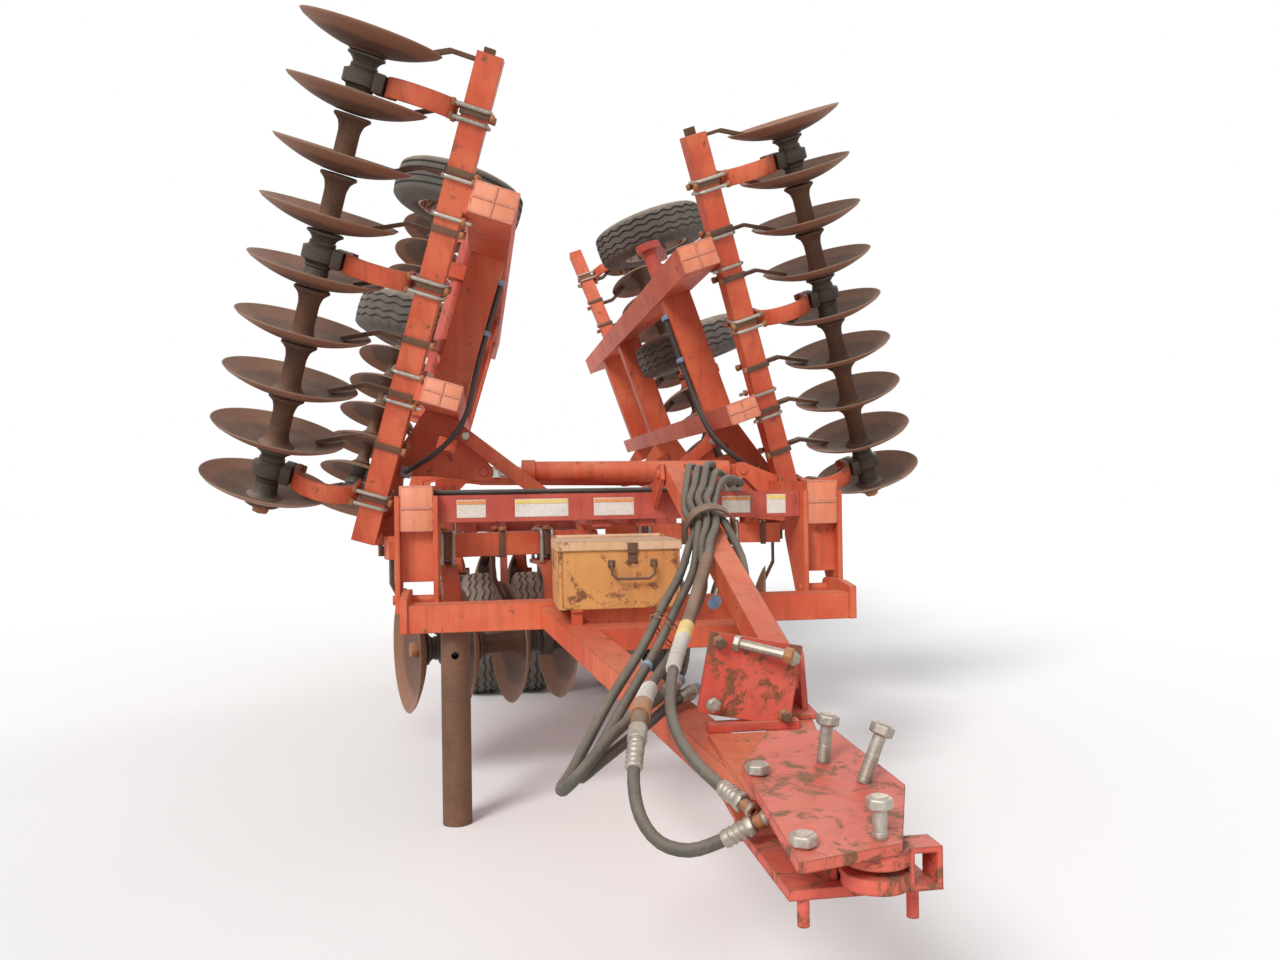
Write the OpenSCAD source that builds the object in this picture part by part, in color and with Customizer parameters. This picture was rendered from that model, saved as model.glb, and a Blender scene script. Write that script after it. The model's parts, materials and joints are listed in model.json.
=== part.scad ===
// Folding tandem disc harrow in transport: centre frame, two raised wings, eight disc gangs, tongue.
// X runs across the machine, Y runs rearwards, Z runs up. The ground is Z = 0.

/* [Discs] */
// Diameter of a disc blade
disc_d = 540; // [480:5:560]
// Thickness of a disc blade
disc_t = 7; // [5:0.5:9]
// How deep a disc is dished
disc_dish = 72; // [50:2:90]
// Distance between neighbouring discs along a gang
disc_pitch = 229; // [225:1:240]
// Angle of the gangs to a line straight across
gang_angle = 16; // [12:0.5:18]
// Height of the gang axles above the ground
axle_h = 570; // [540:5:600]

/* [Spools] */
// Radius of a spool's waist
spool_r = 42; // [36:1:46]
// Radius of a spool's trumpet end
spool_end_r = 72; // [60:1:80]
// Radius of a bearing housing
bearing_r = 72; // [62:1:80]
// Width of a bearing housing
bearing_w = 76; // [60:1:90]
// Radial clearance of a running fit
running_gap = 0.06; // [0.03:0.01:0.09]

/* [Gang bars] */
// Side of a square gang bar
bar_w = 102; // [90:1:110]
// Thickness of a C-shaped spring hanger
hanger_t = 24; // [16:1:30]
// Width of a C-shaped spring hanger
hanger_w = 76; // [60:1:90]
// Side of the scraper bar
scraper_bar_w = 44; // [30:1:55]
// Width of a scraper arm
scraper_w = 40; // [25:1:50]

/* [Centre frame] */
// Width of a main beam
beam_w = 127; // [110:1:140]
// Height of a main beam
beam_h = 178; // [160:1:200]
// Length of a main beam
beam_l = 4350; // [4250:10:4600]
// Distance of a main beam's middle from the centreline
beam_x = 828; // [800:2:850]
// Side of the front cross tube
cross_w = 108; // [90:1:120]
// Thickness of the welded plates
plate_t = 20; // [12:1:25]
// How far the right half of the machine is set back
stagger = 680; // [640:5:720]

/* [Wings] */
// Distance of the fold pins from the centreline
hinge_x = 1016; // [1005:1:1025]
// Height of the fold pins
hinge_z = 1066; // [1060:1:1072]
// Radius of a fold pin
pin_r = 19; // [15:1:22]
// How far the left wing is folded up
fold_left = 106.5; // [100:0.5:108]
// How far the right wing is folded up
fold_right = 109.5; // [100:0.5:110]
// Distance of the inner wing tube from the fold pins
inner_u = 639; // [630:1:650]
// Distance of the outer wing tube from the fold pins
outer_u = 1395; // [1380:1:1410]
// Length of the outer wing tube
outer_l = 4085; // [4000:5:4150]
// Length of the inner wing tube
inner_l = 3535; // [3450:5:3600]

/* [Wheels] */
// Outer diameter of a tyre
tyre_d = 740; // [700:5:760]
// Width of a tyre
tyre_w = 236; // [200:2:250]
// Diameter of a rim
rim_d = 400; // [370:2:420]
// Distance of the centre lift arms from the centreline
lift_arm_x = 430; // [425:1:440]

/* [Tongue] */
// Sideways offset of the tongue from the centreline
tongue_x = 70; // [50:2:90]
// How far the tongue slopes down towards the hitch
tongue_slope = 6.5; // [5:0.5:7]
// Side of a tongue tube
tongue_w = 104; // [90:1:110]
// Radius of the hitch pin hole
hitch_r = 17; // [14:0.5:20]
// Width of the toolbox
box_w = 428; // [380:5:480]
// Height of the toolbox
box_h = 230; // [200:5:260]

/* [Hidden] */

// Place of the main beams' front caps along the machine
front_y = -1220;
// Middle height of the main beams
beam_z = 1190;
// Place of wing disc 1 outward of its fold pin
first_u = 34;
// Height of a gang bar above its gang axle
bar_rise = 447;
// Height of the wing tubes above the fold pins, with the wing lowered
tube_b = 112;
// Rows of discs, front and rear, each with its place behind the front caps at wing disc 1
FRONT = -1;
REAR = 1;
function row_y(row) = row == FRONT ? 409 : 3400;
// Discs on a wing gang of each row, and on a centre gang
function wing_discs(row) = row == FRONT ? 9 : 11;
centre_discs = 4;
// Bearings of each gang, each by the disc that it follows
function wing_bearings(row) = row == FRONT ? [0, 4, 7] : [0, 5, 9];
centre_bearings = [-4, -2];
LEFT = -1;
RIGHT = 1;
function half_y(side) = front_y + (side == RIGHT ? stagger : 0);
function fold(side) = side == RIGHT ? fold_right : fold_left;
// Steepness of a row
row_run = tan(gang_angle);
function row_y_at(row, x) = row_y(row) + row * (x - hinge_x - first_u) * row_run;
// Ends of the gang bars, measured along the bar from wing disc 1
wing_bar_start = -60;
bar_gap = 12;
function wing_bar_end(row) = (wing_discs(row) - 0.4) * disc_pitch;
centre_bar_start = -centre_discs * disc_pitch - 80;

beam_bottom = beam_z - beam_h / 2;
beam_top = beam_z + beam_h / 2;
beam_out = beam_x + beam_w / 2;
beam_in = beam_x - beam_w / 2;
bar_z = axle_h + bar_rise;
bar_top = bar_z + bar_w / 2;
inner_w = 102;
inner_h = 152;
cross_z = beam_bottom + 30;
rail_x = 90;

// The dish of a disc as part of a sphere
dish_r = (pow(disc_d / 2, 2) + pow(disc_dish, 2)) / (2 * disc_dish);
function dish_at(r) = dish_r - sqrt(dish_r * dish_r - r * r);
journal_r = 34;
shaft_r = 20;

fold_eye_r = 45;
// Places of a wing's cross tubes behind its front cap line
WING_CROSS = [594, 2294, 3150];
wing_pin_len = 200;
// Rod pin on the horn of a fold arm
horn_u = 392;
horn_b = 359;

// Paint and finishes
red = "tomato";
dark_red = "firebrick";
rust = "sienna";
steel = "silver";
black = "dimgray";

module half(side) {
    if (side == LEFT) mirror([1, 0, 0]) children();
    else children();
}

// Frame of a lowered wing: X outward from the fold pins, Y behind the front cap line, Z up from the pins
module wing_at(side) {
    half(side) translate([hinge_x, half_y(side), hinge_z]) rotate([0, -fold(side), 0]) children();
}

module centre_at(side) {
    half(side) translate([0, half_y(side), 0]) children();
}

// Frame of a gang: X along its axle, outward, from wing disc 1
module wing_row(side, row) {
    wing_at(side) translate([first_u, row_y(row), axle_h - hinge_z]) rotate([0, 0, row * gang_angle]) children();
}

module centre_row(side, row) {
    centre_at(side) translate([hinge_x + first_u, row_y(row), axle_h]) rotate([0, 0, row * gang_angle]) children();
}

function span(a, low, high) = [a + low, a + high];

module box(x, y, z) {
    translate([x[0], y[0], z[0]]) cube([x[1] - x[0], y[1] - y[0], z[1] - z[0]]);
}

module along_x(x0, x1, r, fn = 32) {
    translate([x0, 0, 0]) rotate([0, 90, 0]) cylinder(r = r, h = x1 - x0, $fn = fn);
}

module along_y(y0, y1, r, fn = 32) {
    translate([0, y1, 0]) rotate([90, 0, 0]) cylinder(r = r, h = y1 - y0, $fn = fn);
}

// A plate that stands across the machine, drawn as X and Z, from y0 to y1
module plate_y(y0, y1) {
    translate([0, y1, 0]) rotate([90, 0, 0]) linear_extrude(y1 - y0) children();
}

// A plate that stands along the machine, drawn as Y and Z, from x0 to x1
module plate_x(x0, x1) {
    translate([x0, 0, 0]) rotate([90, 0, 90]) linear_extrude(x1 - x0) children();
}

// A dished blade on a gang axle, hollow outward where face is 1 and inward where it is -1
module disc(face) {
    arc = [for (i = [0 : 6]) i * disc_d / 12];
    points = concat([for (r = arc) [r, dish_at(r)]], [for (i = [6 : -1 : 0]) [arc[i], dish_at(arc[i]) + disc_t]]);
    mirror([face > 0 ? 0 : 1, 0, 0]) rotate([0, 90, 0]) rotate_extrude($fn = 48) polygon(points);
}

// One spool between two discs, waisted, from x0 to x1
module spool(x0, x1) {
    l = x1 - x0;
    points = [[0, 0], [spool_end_r, 0], [spool_end_r, 12], [spool_r + 6, 42], [spool_r, 66],
        [spool_r, l - 66], [spool_r + 6, l - 42], [spool_end_r, l - 12], [spool_end_r, l], [0, l]];
    translate([x0, 0, 0]) rotate([0, 90, 0]) rotate_extrude($fn = 24) polygon(points);
}

// Two trumpets with a journal between them, where a bearing sits
module bearing_spool(x0, x1, m) {
    b = bearing_w / 2 + 1;
    for (end = [0, 1]) {
        l = end == 0 ? m - b - x0 : x1 - m - b;
        translate([end == 0 ? x0 : x1, 0, 0]) mirror([end, 0, 0]) rotate([0, 90, 0])
            rotate_extrude($fn = 24)
                polygon([[0, 0], [spool_end_r, 0], [spool_end_r, 10], [spool_r + 4, 30], [spool_r + 4, l], [0, l]]);
    }
    along_x(m - b, m + b, journal_r, 48);
}

// Place of a bearing along its gang, a little towards the open side of the disc that it follows
bearing_shift = 16;
function bearing_x(b, face) = (b + 0.5) * disc_pitch + disc_t / 2 + face * bearing_shift;

// Discs from first to last by number, on one square-ended axle
module gang(first, last, face, bearings) {
    along_x((first - 0.32) * disc_pitch, (last + 0.32) * disc_pitch, shaft_r);
    for (i = [first : last]) translate([i * disc_pitch, 0, 0]) disc(face);
    for (i = [first : last - 1])
        if (len([for (b = bearings) if (b == i) b]) > 0)
            bearing_spool(i * disc_pitch + disc_t / 2, (i + 1) * disc_pitch + disc_t / 2, bearing_x(i, face));
        else
            spool(i * disc_pitch + disc_t / 2, (i + 1) * disc_pitch + disc_t / 2);
    for (end = [[first, -1], [last, 1]])
        translate([end[0] * disc_pitch, 0, 0]) mirror([end[1] < 0 ? 1 : 0, 0, 0]) {
            along_x(0, 26, spool_end_r);
            along_x(26, 60, 34, 6);
        }
}

// A C-shaped flat spring from the front of a gang bar to the bearing on the axle below it
module hanger(x) {
    top = bar_rise - bar_w / 2;
    c_r = (top + hanger_t) / 2;
    translate([x, 0, 0]) {
        difference() {
            union() {
                along_x(-bearing_w / 2, bearing_w / 2, bearing_r);
                box([-bearing_w / 2, bearing_w / 2], [-bearing_r, bearing_r], [30, 96]);
            }
            along_x(-bearing_w, bearing_w, journal_r + running_gap, 48);
        }
        translate([0, 0, 96]) rotate([90, 0, 90]) linear_extrude(hanger_w, center = true)
            c_shape(top - 96);
    }
}

// Outline of the spring: Y forward is negative, height runs from the bearing to the bar's underside
module c_shape(h) {
    bulge = 150;
    leg = 58;
    n = 10;
    outer = [for (i = [0 : n]) let (a = 180 * i / n) [-bulge * sin(a), h / 2 - h / 2 * cos(a)]];
    inner = [for (i = [n : -1 : 0]) let (a = 180 * i / n)
        [-(bulge - hanger_t) * sin(a), h / 2 - (h / 2 - hanger_t) * cos(a)]];
    polygon(concat([[leg, 0]], outer, [[leg, h], [leg, h - hanger_t]], inner, [[leg, hanger_t]]));
}

// Scraper bar beside a gang bar, with one bent arm into the hollow of each disc
module scrapers(first, last, face) {
    y0 = bar_w / 2 + 14;
    z0 = bar_rise - 40;
    low = first - (face > 0 ? 0.1 : 0.59);
    high = last + (face > 0 ? 0.75 : 0.1);
    box([low * disc_pitch, high * disc_pitch], [y0, y0 + scraper_bar_w], [z0, z0 + scraper_bar_w]);
    for (i = [first : last]) {
        translate([i * disc_pitch, y0, 0]) mirror([face > 0 ? 0 : 1, 0, 0]) plate_y(0, scraper_w)
            polygon([[110, z0 + 10], [110, 290], [40, 146], [54, 136], [126, 282], [126, z0 + 10]]);
    }
    for (x = [(first + 0.6) * disc_pitch, (last + face * 0.4) * disc_pitch])
        box([x - 30, x + 30], [bar_w / 2, y0], [z0 - 6, z0 + scraper_bar_w + 6]);
}

module gang_bar(x0, x1) {
    box([x0, x1], [-bar_w / 2, bar_w / 2], [bar_rise - bar_w / 2, bar_rise + bar_w / 2]);
}

// Main beams with the two halves of each end cap parted by a weld
module main_beams() {
    color(red) for (side = [LEFT, RIGHT]) half(side)
        box([beam_in, beam_out], [front_y, front_y + beam_l], [beam_bottom, beam_top]);
}

// Cross tubes between the main beams, and the two inner rails that carry the gang bars' inner ends
CROSS_Y = [40, 1510, 2760, 4130];
function cross_end(y) = y == CROSS_Y[0] ? beam_in - plate_t : beam_in;
module frame_cross_tubes() {
    color(dark_red) {
        for (y = CROSS_Y)
            box([-cross_end(y), cross_end(y)], span(front_y + y, 0, cross_w), span(cross_z, 0, cross_w));
        for (side = [LEFT, RIGHT]) half(side)
            box([rail_x - 40, rail_x + 40], [front_y + 60, front_y + 4200], [beam_bottom, beam_bottom + 120]);
    }
}

pivot_y = 40;
pivot_z = 830;
module front_uprights() {
    color(red) for (side = [LEFT, RIGHT]) half(side) translate([0, front_y, 0]) {
        for (x = [beam_in - plate_t, beam_out]) plate_x(x, x + plate_t)
            polygon([[-8, beam_z + 50], [-8, pivot_z], [pivot_y - 50, pivot_z - 50],
                [pivot_y + 60, pivot_z - 50], [260, beam_bottom - 60], [260, beam_z + 50]]);
        box([beam_in, beam_out], [40, 56], [900, beam_bottom]);
        translate([0, pivot_y, pivot_z]) along_x(beam_in - plate_t - 12, beam_out + plate_t + 12, pin_r);
    }
}

// Lugs on the main beams that hold the fold pins
module fold_lugs() {
    color(red) for (side = [LEFT, RIGHT]) centre_at(side) for (y = WING_CROSS) translate([0, y, 0]) {
        for (s = [-1, 1]) translate([0, s * 62 - 10, 0]) plate_y(0, 20) {
            translate([hinge_x, hinge_z]) circle(r = fold_eye_r, $fn = 40);
            polygon([[beam_out, beam_top - 60], [hinge_x + 10, hinge_z + fold_eye_r - 2],
                [hinge_x, hinge_z - fold_eye_r], [beam_out, beam_bottom]]);
        }
        translate([hinge_x, 0, hinge_z]) along_y(-wing_pin_len / 2, wing_pin_len / 2, pin_r);
    }
}

module centre_gang_bars() {
    color(red) for (side = [LEFT, RIGHT], row = [FRONT, REAR]) {
        centre_row(side, row) gang_bar(centre_bar_start, wing_bar_start - bar_gap);
        centre_at(side) for (x = [rail_x, beam_x])
            box([x - 40, x + 40], span(row_y_at(row, x), -60, 60), [bar_top, beam_bottom]);
    }
}

module centre_hangers() {
    color(red) for (side = [LEFT, RIGHT], row = [FRONT, REAR]) centre_row(side, row)
        for (b = centre_bearings) hanger(bearing_x(b, -row));
}

module centre_scrapers() {
    color(rust) for (side = [LEFT, RIGHT], row = [FRONT, REAR]) centre_row(side, row)
        scrapers(-centre_discs, -1, -row);
}

// Bracket on the front cross tube that holds the top of the levelling link
link_x = 180;
link_top = [-105, 1310];
module level_bracket() {
    color(red) translate([link_x, front_y, 0]) {
        for (x = [-58, 42]) plate_x(x, x + 16)
            polygon([[40, cross_z + cross_w], [40, 1170], [-70, 1240], [-150, 1290], [-130, 1350], [-60, 1350], [90, cross_z + cross_w]]);
        translate([0, link_top[0], link_top[1]]) along_x(-70, 70, pin_r);
    }
}

module valve_block() {
    color(steel) translate([0, front_y + 60, beam_bottom + 30 + cross_w]) {
        box([300, 372], [0, 60], [0, 70]);
        box([430, 500], [0, 60], [0, 60]);
    }
}

// Levelling link, hinged to its bracket, with its lower end at the tongue
link_low = [-1480, 800];
link_len = norm(link_low - link_top);
link_tilt = atan2(link_top[1] - link_low[1], link_top[0] - link_low[0]);
link_slot = 50;
module level_link() {
    color(red) translate([link_x, front_y + link_top[0], link_top[1]]) rotate([link_tilt, 0, 0]) difference() {
        union() {
            box([-38, 38], [-link_len - 32 - link_slot, -30], [-38, 38]);
            along_x(-38, 38, 42);
        }
        along_x(-50, 50, pin_r + running_gap, 48);
        for (y = [-link_slot, link_slot]) translate([0, y - link_len, 0]) along_x(-50, 50, pin_r + 2, 48);
        box([-50, 50], span(-link_len, -link_slot, link_slot), [-pin_r - 2, pin_r + 2]);
    }
}

// Middle of the tongue's rear cross tube: place ahead of the front caps, and height
rear_tube = [-185, 785];
// Frame that slopes with the tongue: Y runs forward from the rear cross tube's middle
module down_tongue() {
    translate([tongue_x, front_y + rear_tube[0], rear_tube[1]]) rotate([tongue_slope, 0, 0]) mirror([0, 1, 0]) children();
}
tongue_spread = 387;
tongue_nose = 1760;
tongue_turn = 10.8;
module tongue_frame() {
    color(red) {
        translate([0, front_y + rear_tube[0], rear_tube[1]]) box([-beam_out + 20, beam_out - 20], [-52, 52], [-52, 52]);
        for (side = [LEFT, RIGHT]) half(side) translate([0, front_y, 0]) plate_x(beam_out - 42, beam_out - 14)
            difference() {
                union() {
                    polygon([[-245, 733], [-245, 860], [-133, 875], [pivot_y, pivot_z + 42], [pivot_y, pivot_z - 42],
                        [-120, 733]]);
                    translate([pivot_y, pivot_z]) circle(r = 42, $fn = 40);
                }
                translate([pivot_y, pivot_z]) circle(r = pin_r + running_gap, $fn = 48);
            }
        for (x = [box_x - 150, box_x + 150]) translate([x, front_y, 0]) {
            box([-20, 20], [box_y, -170], [box_z - 10, box_z]);
            box([-20, 20], [-200, -170], [820, box_z]);
            box([-20, 20], [box_y + 10, box_y + 22], [725, box_z - 10]);
        }
        down_tongue() {
            for (side = [LEFT, RIGHT]) half(side) translate([tongue_spread, 0, 0]) rotate([0, 0, tongue_turn])
                box([-tongue_w / 2, tongue_w / 2], [20, tongue_nose], [-38, 38]);
            box([-tongue_spread + 60, tongue_spread - 60], [330, 420], [-38, 38]);
            for (z = [-50, 38]) box([-120, 120], [1500, 1880], span(z, 0, 12));
        }
        translate([tongue_x, front_y, 0])
            box([-60, 60], [hitch_back, hitch_back + 120], span(hitch_mid, -nose_half, nose_half));
    }
}

hitch_y = -2415;
// Kite-shaped plate that stands on the tongue, turned about the line of travel
kite = [-1620, 782];
module hitch_tower() {
    color(red) {
        translate([0, front_y, 0]) {
            translate([tongue_x, kite[0], kite[1]]) rotate([0, 11, 0]) box([-118, 118], [-8, 8], [-100, 100]);
            for (x = [link_x - 66, link_x + 50]) plate_x(x, x + 16) union() {
                translate(link_low) circle(r = 34, $fn = 40);
                polygon([[link_low[0] - 34, link_low[1]], [link_low[0] + 34, link_low[1]], [link_low[0] + 60, 688],
                    [link_low[0] - 60, 676]]);
            }
            translate([0, link_low[0], link_low[1]]) along_x(link_x - 66, link_x + 66, pin_r);
        }
        down_tongue() {
            box([link_x - tongue_x - 80, link_x - tongue_x + 80], [1210, 1400], [38, 50]);
            box([-110, 120], [1428, 1462], [38, 58]);
        }
    }
}

// Hitch: a level plate below and a sloping plate on top, with webs between, around the tongue's nose block
hitch_mid = 614;
nose_half = 49;
hitch_back = -2080;
cover_mid = [-2210, 697];
function cover_z(y) = cover_mid[1] + (y - cover_mid[0]) * tan(tongue_slope);
module on_cover() {
    translate([0, cover_mid[0], cover_mid[1]]) rotate([tongue_slope, 0, 0]) translate([0, -cover_mid[0], 0]) children();
}

// Bolt with its head up, standing on the sloping plate
module cover_bolt(x, y, stand, lean) {
    translate([x, y, cover_z(y) - 2]) rotate([0, lean, 0]) {
        cylinder(r = 11, h = stand, $fn = 24);
        translate([0, 0, stand - 16]) cylinder(r = 20, h = 16, $fn = 6);
    }
}

module hitch_plate() {
    color(red) translate([tongue_x, front_y, 0]) {
        box([-140, 120], [-2376, -2000], [hitch_mid - nose_half - plate_t, hitch_mid - nose_half]);
        on_cover() translate([0, 0, -plate_t]) linear_extrude(plate_t)
            polygon([[-150, -2110], [-45, -1930], [100, -1945], [128, -2250], [25, -2475], [-165, -2515]]);
        for (x = [-60, 44]) plate_x(x, x + 16)
            polygon([[-2350, hitch_mid - nose_half], [hitch_back, hitch_mid - nose_half],
                [hitch_back, cover_z(hitch_back) - 10], [-2350, cover_z(-2350) - 10]]);
        cover_bolt(12, -2120, 92, 8);
        cover_bolt(54, -2226, 112, 22);
        cover_bolt(-5, -2450, 66, 0);
        cover_bolt(-139, -2458, 18, 0);
        cover_bolt(-131, -2158, 18, 0);
        for (x = [-110, 90]) translate([x, -2360, hitch_mid - nose_half - plate_t - 50]) cylinder(r = 11, h = 52, $fn = 24);
    }
}

clevis_t = 26;
clevis_gap = 14;
module hitch_clevis() {
    color(red) translate([tongue_x, front_y, 0]) difference() {
        union() {
            for (z = [-clevis_gap / 2 - clevis_t, clevis_gap / 2])
                translate([0, 0, hitch_mid + z]) linear_extrude(clevis_t) union() {
                    translate([0, hitch_y]) circle(r = 58, $fn = 40);
                    translate([-43, hitch_y]) square([86, 200]);
                }
            box([-43, 43], [hitch_y + 120, hitch_y + 200], [hitch_mid - nose_half, hitch_mid + 33]);
            difference() {
                box([48, 108], span(hitch_y, -30, 30), span(hitch_mid, -40, 33));
                box([58, 98], span(hitch_y, -31, 31), span(hitch_mid, -30, 23));
            }
        }
        translate([0, hitch_y, hitch_mid - 100]) cylinder(r = hitch_r, h = 200, $fn = 48);
    }
}

box_d = 300;
box_x = -102;
box_y = -545;
box_z = 838;
lid_pin = [box_y + box_d + 10, box_z + box_h + 8];
lid_pin_r = 5;
lid_t = 4;
module toolbox() {
    color("darkorange") translate([0, front_y, 0]) {
        translate([box_x, box_y, box_z]) difference() {
            translate([-box_w / 2, 0, 0]) cube([box_w, box_d, box_h]);
            translate([-box_w / 2 + lid_t, lid_t, lid_t]) cube([box_w - 2 * lid_t, box_d - 2 * lid_t, box_h]);
        }
        translate([box_x, lid_pin[0], lid_pin[1]]) along_x(-box_w / 2, box_w / 2, lid_pin_r);
        for (x = [-box_w / 2, box_w / 2 - 12]) translate([box_x + x, 0, 0])
            box([0, 12], [box_y + box_d - 1, lid_pin[0] + 7], [box_z + box_h - 40, lid_pin[1] + 6]);
    }
}

module toolbox_lid() {
    color("peru") translate([box_x, front_y, 0]) {
        translate([0, lid_pin[0], lid_pin[1]]) difference() {
            union() {
                along_x(-box_w / 2 + 14, box_w / 2 - 14, lid_pin_r + 4);
                box([-box_w / 2 + 14, box_w / 2 - 14], [-20, 0], [-6, -2]);
            }
            along_x(-box_w / 2, box_w / 2, lid_pin_r + running_gap);
        }
        box([-box_w / 2 - 6, box_w / 2 + 6], [box_y - 8, box_y + box_d - 4], [box_z + box_h + 2, box_z + box_h + 2 + lid_t]);
        box([-box_w / 2 - 6, box_w / 2 + 6], [box_y - 8, box_y - 8 + lid_t], [box_z + box_h - 26, box_z + box_h + 2]);
        for (x = [-box_w / 2 - 6, box_w / 2 + 2])
            box([x, x + lid_t], [box_y - 8, box_y + box_d - 30], [box_z + box_h - 26, box_z + box_h + 2]);
    }
}

post_r = 55;
module parking_post() {
    color(rust) translate([-680, front_y - 140, 0]) difference() {
        cylinder(r = post_r, h = 733, $fn = 40);
        translate([0, 0, -1]) cylinder(r = post_r - 7, h = 720, $fn = 40);
        translate([0, -200, 640]) along_y(0, 400, 14);
    }
}

// Ring around the levelling link that the hoses pass through
ring_at = 650;
ring_r = 80;
module hose_ring() {
    color(black) translate([link_x, front_y + link_top[0], link_top[1]]) rotate([link_tilt, 0, 0])
        translate([0, -ring_at, sqrt(ring_r * ring_r - 38 * 38) - 38.3]) rotate([90, 0, 0])
            rotate_extrude($fn = 40) translate([ring_r, -25]) square([7, 50]);
}

// Hoses from the valve block, over the levelling link inside the ring, and down to the hitch.
// Each route runs as X, Y behind the front caps, and height; a smooth curve goes through its points.
hose_r = 13.5;
hose_sides = 10;
hose_steps = 3;
LEFT_ROUTE = [
    [316, 54, 1269], [305, -60, 1290], [270, -150, 1325], [215, -250, 1338], [185, -350, 1300],
    [158, -450, 1254], [122, -600, 1176], [127, -728, 1120], [90, -800, 1056], [35, -935, 985],
    [-45, -1095, 915], [-150, -1295, 810], [-260, -1495, 725], [-335, -1625, 650], [-380, -1685, 595],
    [-410, -1765, 585], [-410, -1865, 610], [-375, -1895, 655], [-305, -1795, 695], [-230, -1675, 715],
    [-150, -1555, 730], [-95, -1475, 745]];
MIDDLE_ROUTE = [
    [356, 54, 1269], [342, -60, 1282], [305, -150, 1316], [248, -250, 1332], [218, -350, 1304],
    [188, -450, 1260], [140, -600, 1204], [141, -728, 1148], [122, -800, 1095], [85, -895, 990],
    [0, -1075, 910], [-105, -1285, 810], [-215, -1495, 725], [-295, -1625, 650], [-335, -1695, 615],
    [-365, -1775, 610], [-365, -1855, 635], [-320, -1815, 655], [-240, -1695, 670], [-155, -1555, 685],
    [-100, -1495, 705], [-45, -1435, 715]];
LOOP_ROUTE = [
    [336, 54, 1299], [338, -60, 1318], [330, -150, 1346], [281, -250, 1342], [250, -350, 1304],
    [218, -450, 1260], [168, -600, 1214], [169, -728, 1160], [152, -795, 1122], [122, -860, 1066],
    [100, -975, 945], [35, -1075, 855], [-50, -1235, 790], [-145, -1475, 760], [-220, -1755, 760],
    [-255, -1885, 710], [-275, -1965, 645], [-270, -2025, 590], [-240, -2075, 555], [-190, -2115, 550],
    [-135, -2135, 570], [-85, -2155, 600]];
TAPED_ROUTE = [
    [448, 54, 1268], [425, -60, 1280], [375, -150, 1300], [320, -250, 1317], [282, -350, 1286],
    [246, -450, 1244], [198, -600, 1212], [199, -728, 1159], [182, -800, 1126], [142, -890, 1084],
    [118, -960, 1040], [10, -1215, 900], [-70, -1435, 835], [-130, -1635, 790], [-160, -1785, 745],
    [-155, -1885, 700], [-125, -1975, 660], [-80, -2075, 630]];
RIGHT_ROUTE = [
    [484, 54, 1268], [468, -60, 1272], [425, -150, 1284], [360, -250, 1292], [304, -350, 1262],
    [264, -450, 1216], [226, -600, 1184], [227, -728, 1142], [260, -835, 1030], [240, -975, 925],
    [235, -1075, 845]];
function along(a, b, c, d, t) = 0.5 * (2 * b + (c - a) * t + (2 * a - 5 * b + 4 * c - d) * t * t
    + (3 * b - a - 3 * c + d) * t * t * t);
function course(p) = concat([for (i = [0 : len(p) - 2], j = [0 : hose_steps - 1])
    along(p[max(i - 1, 0)], p[i], p[i + 1], p[min(i + 2, len(p) - 1)], j / hose_steps)], [p[len(p) - 1]]);
function heading(c, i) = let (d = c[min(i + 1, len(c) - 1)] - c[max(i - 1, 0)]) d / norm(d);
function square_to(n, d) = let (v = n - (n * d) * d) v / norm(v);
module hose(route) {
    c = course(route);
    last = len(c) - 1;
    sides = [for (i = 0, n = square_to([1, 0, 0], heading(c, 0)); i <= last;
        i = i + 1, n = square_to(n, heading(c, min(i, last)))) n];
    points = [for (i = [0 : last], k = [0 : hose_sides - 1])
        let (n = square_to(sides[i], heading(c, i)), m = cross(heading(c, i), n), a = 360 * k / hose_sides)
        c[i] + hose_r * (cos(a) * n + sin(a) * m)];
    walls = [for (i = [0 : last - 1], k = [0 : hose_sides - 1]) let (q = (k + 1) % hose_sides)
        each [[i * hose_sides + k, (i + 1) * hose_sides + q, i * hose_sides + q],
            [i * hose_sides + k, (i + 1) * hose_sides + k, (i + 1) * hose_sides + q]]];
    ends = [[for (k = [0 : hose_sides - 1]) k],
        [for (k = [hose_sides - 1 : -1 : 0]) last * hose_sides + k]];
    color("slategray") translate([0, front_y, 0]) polyhedron(points, concat(walls, ends));
}

// Couplers at the hoses' lower ends, each square to its hose
module coupler(route, l) {
    c = course(route);
    d = heading(c, len(c) - 1);
    translate([0, front_y, 0] + c[len(c) - 1] + 0.1 * d) rotate([0, acos(d[2]), atan2(d[1], d[0])]) {
        cylinder(r = 16, h = l, $fn = 32);
        translate([0, 0, 8]) cylinder(r = 19, h = 18, $fn = 6);
    }
}

module hose_couplers() {
    color(steel) {
        coupler(LEFT_ROUTE, 45);
        coupler(MIDDLE_ROUTE, 45);
        coupler(LOOP_ROUTE, 50);
        coupler(TAPED_ROUTE, 50);
        coupler(RIGHT_ROUTE, 60);
    }
}

// Fold arm: a hooked plate that clears the main beam in every position, with a horn for the cylinder
module arm_outline() {
    difference() {
        union() {
            circle(r = fold_eye_r, $fn = 40);
            translate([horn_u, horn_b]) circle(r = 42, $fn = 40);
            polygon([[-20, 40], [120, 52], [268, 22], [290, 60], [315, 150], [352, 372], [430, 376], [inner_u - 51, 190],
                [inner_u - 51, 35], [300, -55], [10, -45]]);
        }
        circle(r = pin_r + running_gap, $fn = 48);
        translate([440, 120]) square([60, 90]);
    }
}

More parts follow.
